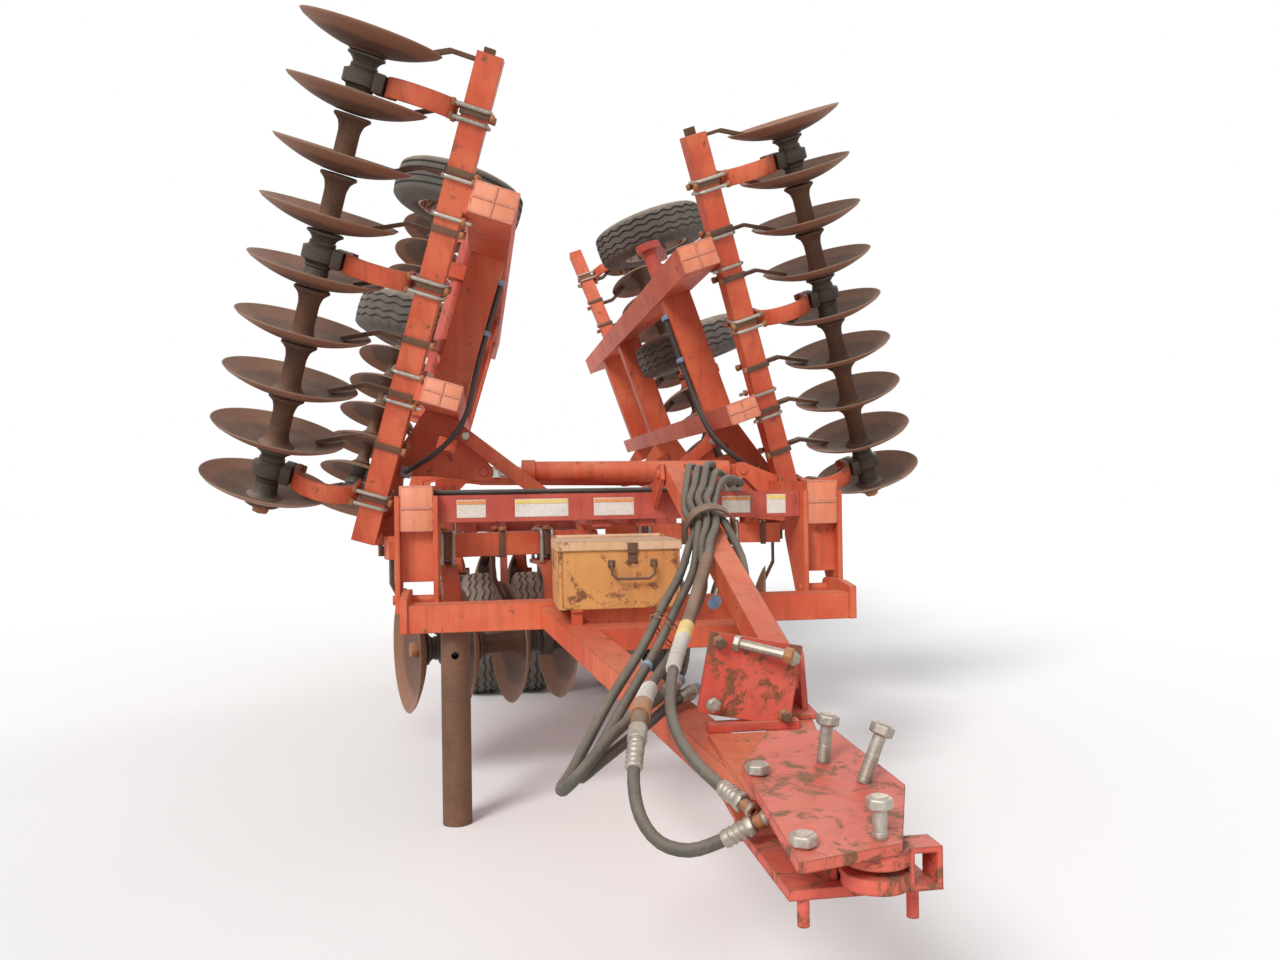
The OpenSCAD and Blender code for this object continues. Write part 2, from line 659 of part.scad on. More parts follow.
module wing_frame(side) {
    color(red) wing_at(side) {
        box([outer_u - beam_w / 2, outer_u + beam_w / 2], [-106, outer_l - 106], [tube_b - beam_h / 2, tube_b + beam_h / 2]);
        box([inner_u - inner_w / 2, inner_u + inner_w / 2], [71, inner_l + 71], [tube_b - inner_h / 2, tube_b + inner_h / 2]);
        for (y = WING_CROSS) {
            box([inner_u + inner_w / 2, outer_u - beam_w / 2], [y - 51, y + 51],
                [tube_b - inner_h / 2, tube_b + inner_h / 2]);
            for (s = [-1, 1]) translate([0, y + s * 30 - 10, 0]) plate_y(0, 20) arm_outline();
        }
    }
}

// Wheels of a wing: place along the shaft outward of the fold pins
WING_WHEEL_U = [1140, 1922];
wing_axle = [1950, -216];
wing_shaft = [1440, -46];
shaft_w = 45;
axle_r = 30;
arm_gap = 14;
arm_t = 44;
hub_l = tyre_w / 2 + arm_gap;

// Box bearings under the wing tubes, around the lift shaft
module shaft_bearing(u, bottom) {
    difference() {
        box([u - 40, u + 40], span(wing_shaft[0], -62, 62), [wing_shaft[1] - 62, bottom]);
        translate([0, wing_shaft[0], wing_shaft[1]]) along_x(u - 50, u + 50, shaft_w + running_gap, 64);
    }
}

module wing_bearings_under(side) {
    color(red) wing_at(side) {
        shaft_bearing(inner_u, tube_b - inner_h / 2);
        shaft_bearing(outer_u, tube_b - beam_h / 2);
    }
}

module wing_frame_whole(side) {
    wing_frame(side);
    wing_bearings_under(side);
    horn_pin(side);
}

module wing_gang_bars(side) {
    color(red) {
        for (row = [FRONT, REAR]) wing_row(side, row) gang_bar(wing_bar_start, wing_bar_end(row));
        wing_at(side) for (row = [FRONT, REAR]) {
            box([inner_u - 48, inner_u + 48], span(row_y_at(row, hinge_x + inner_u), -70, 60),
                [bar_top - hinge_z, tube_b - inner_h / 2]);
            box([outer_u - 60, outer_u + 60], span(row_y_at(row, hinge_x + outer_u), -70, 60),
                [bar_top - hinge_z, tube_b - beam_h / 2]);
        }
    }
}

module wing_hangers(side) {
    color(red) for (row = [FRONT, REAR]) wing_row(side, row)
        for (b = wing_bearings(row)) hanger(bearing_x(b, -row));
}

module wing_scrapers(side) {
    color(rust) for (row = [FRONT, REAR]) wing_row(side, row) scrapers(0, wing_discs(row) - 1, -row);
}

module wing_gang(side, row) {
    color(rust) wing_row(side, row) gang(0, wing_discs(row) - 1, -row, wing_bearings(row));
}

module centre_gang(side, row) {
    color(rust) centre_row(side, row) gang(-centre_discs, -1, -row, centre_bearings);
}

// A lift arm in its own plane: from the shaft at a to the axle at b, drawn as Y and Z
module arm_plate(a, b, ra, rb) {
    d = (b - a) / norm(b - a);
    n = [-d[1], d[0]];
    union() {
        translate(a) circle(r = ra, $fn = 40);
        translate(b) circle(r = rb, $fn = 40);
        polygon([a + n * ra, b + n * rb, b - n * rb, a - n * ra]);
    }
}

// Wing lift shaft with an arm and a stub axle for each wheel
module rockshaft(side) {
    color(dark_red) wing_at(side) {
        translate([0, wing_shaft[0], wing_shaft[1]])
            along_x(inner_u - 75, WING_WHEEL_U[1] - hub_l - 2, shaft_w, 64);
        for (u = WING_WHEEL_U) {
            plate_x(u - hub_l - arm_t, u - hub_l) arm_plate(wing_shaft, wing_axle, 75, 58);
            translate([0, wing_axle[0], wing_axle[1]]) along_x(u - hub_l - 4, u + 80, axle_r, 48);
        }
    }
}

// A tyre on its rim with a hub, standing on the X axis
module wheel() {
    r = tyre_d / 2;
    w = tyre_w / 2;
    rim = rim_d / 2;
    rotate([0, 90, 0]) rotate_extrude($fn = 64) polygon([
        [axle_r + running_gap, -hub_l + 1], [55, -hub_l + 1], [55, -20], [rim - 30, -8], [rim - 8, -w + 40],
        [rim + 8, -w + 30], [rim + 30, -w + 8], [rim + 80, -w], [r - 60, -w + 6], [r - 22, -w + 20], [r - 4, -w + 50],
        [r, -40], [r, 40],
        [r - 4, w - 50], [r - 22, w - 20], [r - 60, w - 6], [rim + 80, w], [rim + 30, w - 8], [rim + 8, w - 30],
        [rim - 8, w - 40], [rim - 26, 10], [60, 2], [55, 76], [axle_r + running_gap, 76]]);
}

module wing_wheel(side, i) {
    color(black) wing_at(side) translate([WING_WHEEL_U[i], wing_axle[0], wing_axle[1]]) wheel();
}

// Centre lift: the shaft under a cross tube, and the wheels' axle line ahead of it
lift = [2790, 1040];
centre_axle = [2400, tyre_d / 2];
lift_r = 55;
module rockshaft_centre() {
    color(dark_red) translate([0, front_y, 0]) {
        translate([0, lift[0], lift[1]]) along_x(-beam_in + 26, beam_in - 26, lift_r, 64);
        for (side = [LEFT, RIGHT]) half(side) {
            plate_x(lift_arm_x - arm_t / 2, lift_arm_x + arm_t / 2) arm_plate(lift, centre_axle, 85, 58);
            translate([0, centre_axle[0], centre_axle[1]])
                along_x(lift_arm_x - arm_t / 2 - hub_l - 80, lift_arm_x + arm_t / 2 + hub_l + 80, axle_r, 48);
        }
    }
}

module shaft_hangers() {
    color(dark_red) for (side = [LEFT, RIGHT]) half(side) translate([0, front_y, 0]) difference() {
        box([600, 680], [CROSS_Y[2] - 40, lift[0] + 80], [lift[1] - 80, cross_z]);
        translate([0, lift[0], lift[1]]) along_x(590, 690, lift_r + running_gap, 64);
    }
}

// Centre wheel: place is 1 for the wheel outside its arm and -1 for the one inside
module centre_wheel(side, place) {
    color(black) half(side)
        translate([lift_arm_x + place * (arm_t / 2 + hub_l), front_y + centre_axle[0], centre_axle[1]])
            mirror([place > 0 ? 0 : 1, 0, 0]) wheel();
}

// Fold cylinders lie across the frame, from a bracket on the far beam to the horn of the fold arm
cyl_base = [-640, 1335];
cyl_eye_w = 36;
barrel_l = 1030;
barrel_r = 48;
rod_r = 25;
function horn_at(side) = [hinge_x + horn_u * cos(fold(side)) - horn_b * sin(fold(side)),
    hinge_z + horn_u * sin(fold(side)) + horn_b * cos(fold(side))];
function cyl_l(side) = norm(horn_at(side) - cyl_base);
function cyl_tilt(side) = atan2(horn_at(side)[1] - cyl_base[1], horn_at(side)[0] - cyl_base[0]);
module cylinder_at(side) {
    half(side) translate([cyl_base[0], half_y(side) + WING_CROSS[0], cyl_base[1]])
        rotate([0, -cyl_tilt(side), 0]) children();
}

module fold_barrel(side) {
    color(red) cylinder_at(side) difference() {
        union() {
            along_x(64, barrel_l, barrel_r, 48);
            along_x(barrel_l - 60, barrel_l, barrel_r + 7, 48);
            along_y(-cyl_eye_w / 2, cyl_eye_w / 2, 40, 40);
            box([0, 70], [-cyl_eye_w / 2, cyl_eye_w / 2], [-30, 30]);
        }
        along_x(100, barrel_l + 10, rod_r + running_gap, 64);
        along_y(-40, 40, pin_r + running_gap, 48);
    }
}

module fold_rod(side) {
    color(steel) cylinder_at(side) {
        along_x(120, cyl_l(side) - 66, rod_r, 64);
        box([cyl_l(side) - 70, cyl_l(side) - 10], [-cyl_eye_w / 2, cyl_eye_w / 2], [-24, 24]);
        translate([cyl_l(side), 0, 0]) along_y(-cyl_eye_w / 2, cyl_eye_w / 2, 40, 40);
    }
}

// Brackets on the main beams for the far ends of the fold cylinders
module cylinder_brackets() {
    color(red) for (side = [LEFT, RIGHT]) half(side) translate([0, half_y(side) + WING_CROSS[0], 0]) {
        for (s = [-1, 1]) translate([0, s * 30 - 10, 0]) plate_y(0, 20) union() {
            translate(cyl_base) circle(r = 38, $fn = 40);
            polygon([cyl_base + [0, 38], cyl_base + [-10, -38], [-beam_in, 1180], [-beam_in, beam_top], [-beam_in - 40, beam_top],
                [-beam_in - 40, beam_top + 30]]);
        }
        translate([cyl_base[0], 0, cyl_base[1]]) along_y(-46, 46, pin_r);
    }
}

module fold_lugs_whole() {
    fold_lugs();
    cylinder_brackets();
}

module frame_tubes_whole() {
    frame_cross_tubes();
    shaft_hangers();
}

// Ends of the pin in a fold arm's horn; the pin's middle is one with the rod's eye
module horn_pin(side) {
    color(red) wing_at(side) for (s = [-1, 1])
        translate([horn_u, WING_CROSS[0] + s * 33, horn_b]) along_y(-13, 13, pin_r);
}

main_beams();
frame_tubes_whole();  // frame_cross_tubes
front_uprights();
fold_lugs_whole();  // fold_lugs
centre_gang_bars();
centre_hangers();
centre_scrapers();
level_bracket();
valve_block();
level_link();
tongue_frame();
hitch_tower();
hitch_plate();
hitch_clevis();
toolbox();
toolbox_lid();
parking_post();
hose_ring();
hose_couplers();
hose(LEFT_ROUTE);  // hose_left
hose(MIDDLE_ROUTE);  // hose_middle
hose(LOOP_ROUTE);  // hose_loop
hose(TAPED_ROUTE);  // hose_taped
hose(RIGHT_ROUTE);  // hose_right
wing_frame_whole(LEFT);  // wing_frame_left
wing_frame_whole(RIGHT);  // wing_frame_right
wing_gang_bars(LEFT);  // wing_gang_bars_left
wing_gang_bars(RIGHT);  // wing_gang_bars_right
wing_hangers(LEFT);  // wing_hangers_left
wing_hangers(RIGHT);  // wing_hangers_right
wing_scrapers(LEFT);  // wing_scrapers_left
wing_scrapers(RIGHT);  // wing_scrapers_right
centre_gang(LEFT, FRONT);  // gang_front_left
centre_gang(RIGHT, FRONT);  // gang_front_right
centre_gang(LEFT, REAR);  // gang_rear_left
centre_gang(RIGHT, REAR);  // gang_rear_right
wing_gang(LEFT, FRONT);  // gang_wing_front_left
wing_gang(RIGHT, FRONT);  // gang_wing_front_right
wing_gang(LEFT, REAR);  // gang_wing_rear_left
wing_gang(RIGHT, REAR);  // gang_wing_rear_right
rockshaft_centre();
rockshaft(LEFT);  // rockshaft_left
rockshaft(RIGHT);  // rockshaft_right
centre_wheel(LEFT, 1);  // wheel_centre_outer_left
centre_wheel(LEFT, -1);  // wheel_centre_inner_left
centre_wheel(RIGHT, 1);  // wheel_centre_outer_right
centre_wheel(RIGHT, -1);  // wheel_centre_inner_right
wing_wheel(LEFT, 0);  // wheel_wing_inner_left
wing_wheel(LEFT, 1);  // wheel_wing_outer_left
wing_wheel(RIGHT, 0);  // wheel_wing_inner_right
wing_wheel(RIGHT, 1);  // wheel_wing_outer_right
fold_barrel(LEFT);  // fold_barrel_left
fold_rod(LEFT);  // fold_rod_left
fold_barrel(RIGHT);  // fold_barrel_right
fold_rod(RIGHT);  // fold_rod_right
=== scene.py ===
# %% [markdown]
# # Folding disc harrow
# The harrow stands as it parks: wings folded up, weight on the four centre wheels and the post.
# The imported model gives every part's place. This lesson adds what a maker sees next: rounded
# tube corners, dished blades, tread, bolts, hoses, and paint that the sun has faded.

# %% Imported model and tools
import json
import math

import bmesh
import bpy
from mathutils import Matrix, Vector


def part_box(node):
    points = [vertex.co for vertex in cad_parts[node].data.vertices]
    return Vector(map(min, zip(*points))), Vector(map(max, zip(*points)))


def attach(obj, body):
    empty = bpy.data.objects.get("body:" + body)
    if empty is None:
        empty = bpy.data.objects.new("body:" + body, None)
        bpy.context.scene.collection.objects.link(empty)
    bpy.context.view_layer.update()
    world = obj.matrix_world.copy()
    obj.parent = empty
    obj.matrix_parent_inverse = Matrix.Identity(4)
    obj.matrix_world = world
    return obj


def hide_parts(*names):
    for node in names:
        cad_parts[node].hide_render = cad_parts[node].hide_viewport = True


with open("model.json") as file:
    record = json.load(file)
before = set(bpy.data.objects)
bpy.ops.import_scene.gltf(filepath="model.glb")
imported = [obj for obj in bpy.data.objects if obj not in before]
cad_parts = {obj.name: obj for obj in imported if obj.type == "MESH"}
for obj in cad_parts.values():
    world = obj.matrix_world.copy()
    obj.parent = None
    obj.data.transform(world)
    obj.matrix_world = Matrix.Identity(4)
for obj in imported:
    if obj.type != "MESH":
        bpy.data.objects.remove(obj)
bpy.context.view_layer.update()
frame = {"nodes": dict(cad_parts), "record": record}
scene = bpy.context.scene
BODY_OF = {node: body for body, nodes in frame["record"]["behaviour"]["bodies"].items()
           for node in nodes}


def new_object(name, data):
    """An object that shows the given data in the scene."""
    made = bpy.data.objects.new(name, data)
    scene.collection.objects.link(made)
    return made


def move(x, y, z):
    return Matrix.Translation((x, y, z))


def turn(degrees, axis):
    return Matrix.Rotation(math.radians(degrees), 4, axis)


# %% [markdown]
# ## Camera
# The camera stands in front of the left corner at eye height of a crouching person, and is
# turned about nine degrees to the right. Its place is measured from the front ends of the
# main beams, so it follows the model if the model is packed again.

# %% Camera
FRONT_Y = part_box("main_beams")[0].y
EYE = Vector((-0.585, FRONT_Y - 4.055, 1.255))
TURN_RIGHT, TILT_UP, ROLL = -9.049, 0.499, 0.84
FOCAL_LENGTH, SENSOR_WIDTH = 28.5, 36.0
camera_data = bpy.data.cameras.new("camera")
camera_data.lens, camera_data.sensor_width = FOCAL_LENGTH, SENSOR_WIDTH
camera_data.clip_end = 200.0
camera = new_object("camera", camera_data)
camera.matrix_world = (Matrix.Translation(EYE) @ turn(TURN_RIGHT, "Z") @ turn(TILT_UP, "X")
                       @ turn(ROLL, "Y") @ turn(90, "X"))
scene.camera = camera
print("camera at", [round(c, 3) for c in EYE])

# %% [markdown]
# ## Floor, light and background
# A plain pale floor catches the shadow. One wide sun and a grey-white sky give soft studio light
# at a level where a colour renders about as it is written. Camera, glossy and transmitted rays
# see plain white instead of the sky. A node tree takes many lines to write out, so a few short
# helpers put its nodes in place and link them.

# %% Helpers for node trees
def put(tree, kind, inputs=None, **settings):
    """A node with its settings, and values or links for its inputs."""
    node = tree.nodes.new(kind)
    for key, value in settings.items():
        setattr(node, key, value)
    for key, value in (inputs or {}).items():
        if isinstance(value, bpy.types.NodeSocket):
            tree.links.new(value, node.inputs[key])
        else:
            node.inputs[key].default_value = value
    return node


def calc(tree, operation, a, b=0.0, c=0.0, clamp=False):
    node = put(tree, "ShaderNodeMath", {0: a, 1: b, 2: c}, operation=operation, use_clamp=clamp)
    return node.outputs[0]


def times(tree, a, b, clamp=False):
    return calc(tree, "MULTIPLY", a, b, clamp=clamp)


def scaled(tree, value, factor, offset, clamp=False):
    """The value times a factor, with an offset added."""
    return calc(tree, "MULTIPLY_ADD", value, factor, offset, clamp)


def ramp_between(tree, value, low, high):
    """0 below low, 1 above high, and smooth between them."""
    node = put(tree, "ShaderNodeMapRange", {"Value": value, "From Min": low, "From Max": high},
               interpolation_type="SMOOTHSTEP", clamp=True)
    return node.outputs["Result"]


def mixed(tree, share, a, b):
    """Colour a where share is 0 and b where it is 1."""
    node = put(tree, "ShaderNodeMix", {0: share, 6: a, 7: b}, data_type="RGBA")
    return node.outputs[2]


def new_group(name, inputs, outputs):
    tree = bpy.data.node_groups.new(name, "ShaderNodeTree")
    for label, value in inputs:
        kind = "NodeSocketFloat" if isinstance(value, float) else "NodeSocketColor"
        tree.interface.new_socket(label, in_out="INPUT", socket_type=kind).default_value = value
    for label, kind in outputs:
        tree.interface.new_socket(label, in_out="OUTPUT", socket_type="NodeSocket" + kind)
    return tree, tree.nodes.new("NodeGroupInput").outputs, tree.nodes.new("NodeGroupOutput").inputs


def give(tree, gives, **values):
    """Links values to a group's outputs of the same names."""
    for label, value in values.items():
        tree.links.new(value, gives[label])
    return tree


def place_group(tree, group_tree, inputs=None):
    return put(tree, "ShaderNodeGroup", inputs, node_tree=group_tree).outputs


# %% Floor, light and background
scene.view_settings.view_transform = "Standard"
FLOOR_SIZE, SUN_WIDTH = 60.0, 22
SUNS = (("key_sun", (52, 0, -38), 2.3), ("back_sun", (60, 0, 150), 0.45))
SKY_COLOUR, SKY_LEVEL = (0.93, 0.96, 1.0, 1), 0.62

floor_bm = bmesh.new()
bmesh.ops.create_grid(floor_bm, x_segments=2, y_segments=2, size=FLOOR_SIZE)
floor_mesh = bpy.data.meshes.new("studio_floor")
floor_bm.to_mesh(floor_mesh)
floor_bm.free()
floor = new_object("studio_floor", floor_mesh)

for name, heading, level in SUNS:
    sun = bpy.data.lights.new(name, "SUN")
    sun.energy, sun.angle = level, math.radians(SUN_WIDTH)
    new_object(name, sun).rotation_euler = [math.radians(a) for a in heading]

world = bpy.data.worlds.new("studio")
world.use_nodes = True
scene.world = world
sky = world.node_tree
sky.nodes.clear()
rays = put(sky, "ShaderNodeLightPath").outputs
seen = calc(sky, "MAXIMUM", rays["Is Camera Ray"],
            calc(sky, "MAXIMUM", rays["Is Glossy Ray"], rays["Is Transmission Ray"]))
light = put(sky, "ShaderNodeBackground", {"Color": SKY_COLOUR, "Strength": SKY_LEVEL})
white = put(sky, "ShaderNodeBackground", {"Color": (1, 1, 1, 1), "Strength": 1.0})
either = put(sky, "ShaderNodeMixShader", {0: seen, 1: light.outputs[0], 2: white.outputs[0]})
put(sky, "ShaderNodeOutputWorld", {"Surface": either.outputs[0]})
print("floor, sun and sky are set")

# %% [markdown]
# ## Effects that several finishes share
# Sun, rain and stones age every surface of the harrow in the same ways. Each way is one node
# group with named sockets: blotches and grain, bare edges, dust on what faces up, and rust.
# The groups put out masks and colours only, and each material places them with its own values.

# %% Weather, bare edges, dust and rust
def noise(tree, scale, detail, roughness=0.5, distortion=0.0, stretch=(1, 1, 1)):
    """A noise value on the object's own coordinates."""
    spot = put(tree, "ShaderNodeTexCoord").outputs["Object"]
    if stretch != (1, 1, 1):
        spot = put(tree, "ShaderNodeMapping", {"Vector": spot, "Scale": stretch}).outputs[0]
    return put(tree, "ShaderNodeTexNoise", {
        "Vector": spot, "Scale": scale, "Detail": detail, "Roughness": roughness,
        "Distortion": distortion}).outputs[0]


def make_weather():
    tree, given, gives = new_group("weather", [("Size", 1.0)], [
        ("Blotch", "Float"), ("Grain", "Float"), ("Streak", "Float")])
    size = given["Size"]
    blotch = noise(tree, times(tree, size, 3.1), 5.0, 0.62)
    grain = noise(tree, times(tree, size, 95.0), 4.0, 0.7)
    streak = noise(tree, size, 3.0, 0.6, stretch=(26, 26, 1.6))
    return give(tree, gives, Blotch=ramp_between(tree, blotch, 0.36, 0.66), Grain=grain,
                Streak=ramp_between(tree, streak, 0.45, 0.72))


def make_bare_edges():
    tree, given, gives = new_group("bare_edges", [("Width", 0.006)], [
        ("Edge", "Float"), ("Rounded", "Vector")])
    rounded = put(tree, "ShaderNodeBevel", {"Radius": given["Width"]}, samples=4).outputs[0]
    flat = put(tree, "ShaderNodeNewGeometry").outputs["Normal"]
    alike = put(tree, "ShaderNodeVectorMath", {0: rounded, 1: flat}, operation="DOT_PRODUCT")
    turned_away = calc(tree, "SUBTRACT", 1.0, alike.outputs["Value"])
    chips = noise(tree, 38.0, 4.0)
    reach = times(tree, turned_away, calc(tree, "POWER", chips, 1.4))
    return give(tree, gives, Edge=ramp_between(tree, reach, 0.015, 0.07), Rounded=rounded)


def make_dust():
    tree, given, gives = new_group("dust", [("Amount", 0.5)], [("Dust", "Float")])
    facing = put(tree, "ShaderNodeSeparateXYZ",
                 {0: put(tree, "ShaderNodeNewGeometry").outputs["Normal"]}).outputs["Z"]
    up = ramp_between(tree, facing, 0.1, 0.95)
    film = times(tree, scaled(tree, up, 0.75, 0.18), noise(tree, 11.0, 6.0, 0.65))
    return give(tree, gives, Dust=times(tree, times(tree, film, 1.9), given["Amount"], clamp=True))


def make_rust():
    tree, given, gives = new_group("rust", [("Amount", 0.4)], [
        ("Rust", "Float"), ("Colour", "Color"), ("Height", "Float")])
    patch = noise(tree, 14.0, 8.0, 0.72, 0.4)
    fine = noise(tree, 130.0, 3.0)
    level = calc(tree, "ADD", patch, times(tree, given["Amount"], 0.42))
    brown = mixed(tree, fine, (0.055, 0.022, 0.012, 1), (0.33, 0.105, 0.035, 1))
    return give(tree, gives, Rust=ramp_between(tree, level, 0.74, 0.82), Colour=brown, Height=fine)


WEATHER, BARE_EDGES = make_weather(), make_bare_edges()
DUST, RUST = make_dust(), make_rust()
print("shared effects:", [tree.name for tree in bpy.data.node_groups])

# %% [markdown]
# ## Finishes
# Paint is one recipe with its own numbers each time: a fresh colour and a bleached one mixed by
# blotches, streaks where rain ran, rust in patches and on edges, and dust on top. The bevel
# node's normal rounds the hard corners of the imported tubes, as rolled steel tube has them.

# %% Paint
DUST_COLOUR = (0.50, 0.38, 0.28, 1)


def finish(name, dust, size=1.0):
    """A node material with its bump node, the weather and the share of dust."""
    material = bpy.data.materials.new(name)
    material.use_nodes = True
    tree = material.node_tree
    bump = put(tree, "ShaderNodeBump", {"Strength": 0.3, "Distance": 0.002})
    tree.links.new(bump.outputs[0], tree.nodes["Principled BSDF"].inputs["Normal"])
    return (material, tree, bump, place_group(tree, WEATHER, {"Size": size}),
            place_group(tree, DUST, {"Amount": dust})["Dust"])


def round_edges(tree, bump, width):
    """Rounds the shading of hard edges, and gives the mask of bare ones."""
    edges = place_group(tree, BARE_EDGES, {"Width": width})
    tree.links.new(edges["Rounded"], bump.inputs["Normal"])
    return edges["Edge"]


def connect(tree, bump, colour, rough, height):
    """Links a colour, a roughness and a height to the shader and its bump node."""
    shader = tree.nodes["Principled BSDF"]
    tree.links.new(colour, shader.inputs["Base Color"])
    tree.links.new(rough, shader.inputs["Roughness"])
    tree.links.new(height, bump.inputs["Height"])
    return shader


def paint(name, fresh, bleached, rust=0.35, dust=0.5, streaks=0.35):
    """Fresh and bleached paint in blotches, with streaks, rust, bare edges and dust."""
    material, tree, bump, weather, dusty = finish(name, dust)
    edge = round_edges(tree, bump, 0.006)
    patches = place_group(tree, RUST, {"Amount": rust})
    colour = mixed(tree, weather["Blotch"], (*fresh, 1), (*bleached, 1))
    run = times(tree, weather["Streak"], streaks)
    colour = mixed(tree, run, colour, (*[c * 0.45 for c in fresh], 1))
    bare = calc(tree, "MAXIMUM", patches["Rust"], times(tree, edge, 0.8))
    colour = mixed(tree, bare, colour, patches["Colour"])
    rough = scaled(tree, bare, 0.3, 0.55)
    pits = calc(tree, "ADD", patches["Height"], -1.2)
    height = scaled(tree, bare, pits, times(tree, weather["Grain"], 0.35))
    connect(tree, bump, mixed(tree, dusty, colour, DUST_COLOUR),
            scaled(tree, dusty, 0.3, rough, clamp=True), height)
    return material


PAINTS = {
    "faded_red_paint": ((0.56, 0.066, 0.017), (0.66, 0.132, 0.048), dict(dust=0.18)),
    # Painted shade: shaded_red_paint is a darker crimson copy of the frame red, for tubes that sit
    # in shade.
    "shaded_red_paint": ((0.44, 0.040, 0.022), (0.54, 0.088, 0.052), dict(rust=0.4, dust=0.3)),
    "hitch_red_paint": ((0.60, 0.062, 0.034), (0.67, 0.120, 0.076), dict(rust=0.55, dust=0.18)),
    "cap_paint": ((0.70, 0.185, 0.080), (0.80, 0.28, 0.16), dict(rust=0.3, streaks=0.2)),
    "toolbox_paint": ((0.64, 0.29, 0.075), (0.60, 0.235, 0.06), dict(rust=0.5, dust=0.25)),
    "toolbox_lid_paint": ((0.66, 0.36, 0.17), (0.72, 0.46, 0.29), dict(rust=0.38)),
    "rim_paint": ((0.50, 0.46, 0.40), (0.62, 0.58, 0.52), dict(rust=0.6, dust=0.8)),
    "stop_yellow": ((0.72, 0.48, 0.06), (0.80, 0.62, 0.20), dict(rust=0.3)),
}
FINISH = {name: paint(name, fresh, bleached, **more)
          for name, (fresh, bleached, more) in PAINTS.items()}
print("paints:", len(FINISH))

# %% [markdown]
# ## Bare metal, rubber and small finishes
# Blades keep a brighter orange band where soil last polished them and a darker, older skin inward.
# Their middles near the spools get painted shade, and their worn edges a painted highlight. The
# band follows each blade's own radius, which is stored on its vertices.

# %% Metal and rubber
def bare_metal(name, dark, light, rough, metal=0.35, dust=0.4, bump_height=0.35):
    """A dark and a light skin in blotches and grain, with dust on what faces up."""
    material, tree, bump, weather, dusty = finish(name, dust)
    round_edges(tree, bump, 0.004)
    grain = weather["Grain"]
    speckle = scaled(tree, grain, 1.6, -0.55)
    skin = scaled(tree, weather["Blotch"], 0.5, speckle, clamp=True)
    colour = mixed(tree, skin, (*dark, 1), (*light, 1))
    shader = connect(tree, bump, mixed(tree, dusty, colour, DUST_COLOUR),
                     scaled(tree, grain, 0.25, rough), times(tree, grain, bump_height))
    shader.inputs["Metallic"].default_value = metal
    return material


def blade_steel(name):
    """Rusty steel with a worn band, painted shade in the middle, a bright worn edge with a painted
    highlight, and faint rings.
    """
    material, tree, bump, weather, dusty = finish(name, 0.28, 1.6)
    reach = put(tree, "ShaderNodeAttribute", attribute_name="reach").outputs["Fac"]
    ragged = scaled(tree, weather["Blotch"], 0.09, reach)
    band = ramp_between(tree, ragged, 0.70, 0.84)
    # Painted shade: the middle of each blade is darkened towards near black, where the spools and
    # the next blade shade it.
    inner = ramp_between(tree, ragged, 0.44, 0.30)
    freckle = scaled(tree, weather["Grain"], 1.8, -0.45, clamp=True)
    old = mixed(tree, freckle, (0.058, 0.027, 0.017, 1), (0.190, 0.080, 0.046, 1))
    worn = mixed(tree, freckle, (0.15, 0.060, 0.032, 1), (0.36, 0.155, 0.085, 1))
    colour = mixed(tree, band, old, worn)
    colour = mixed(tree, times(tree, inner, 0.35), colour, (0.03, 0.02, 0.016, 1))
    # Painted highlight: a light line at each blade's rim, on top of the bright steel that soil
    # wears there.
    edge_wear_and_highlight = ramp_between(tree, reach, 0.972, 0.985)
    colour = mixed(tree, times(tree, edge_wear_and_highlight, 0.5), colour, (0.36, 0.24, 0.16, 1))
    rings = times(tree, calc(tree, "SINE", times(tree, reach, 260.0)), 0.06)
    shader = connect(tree, bump, mixed(tree, dusty, colour, DUST_COLOUR),
                     scaled(tree, weather["Grain"], 0.3, 0.48),
                     calc(tree, "ADD", rings, times(tree, weather["Grain"], 0.5)))
    shader.inputs["Metallic"].default_value = 0.3
    return material


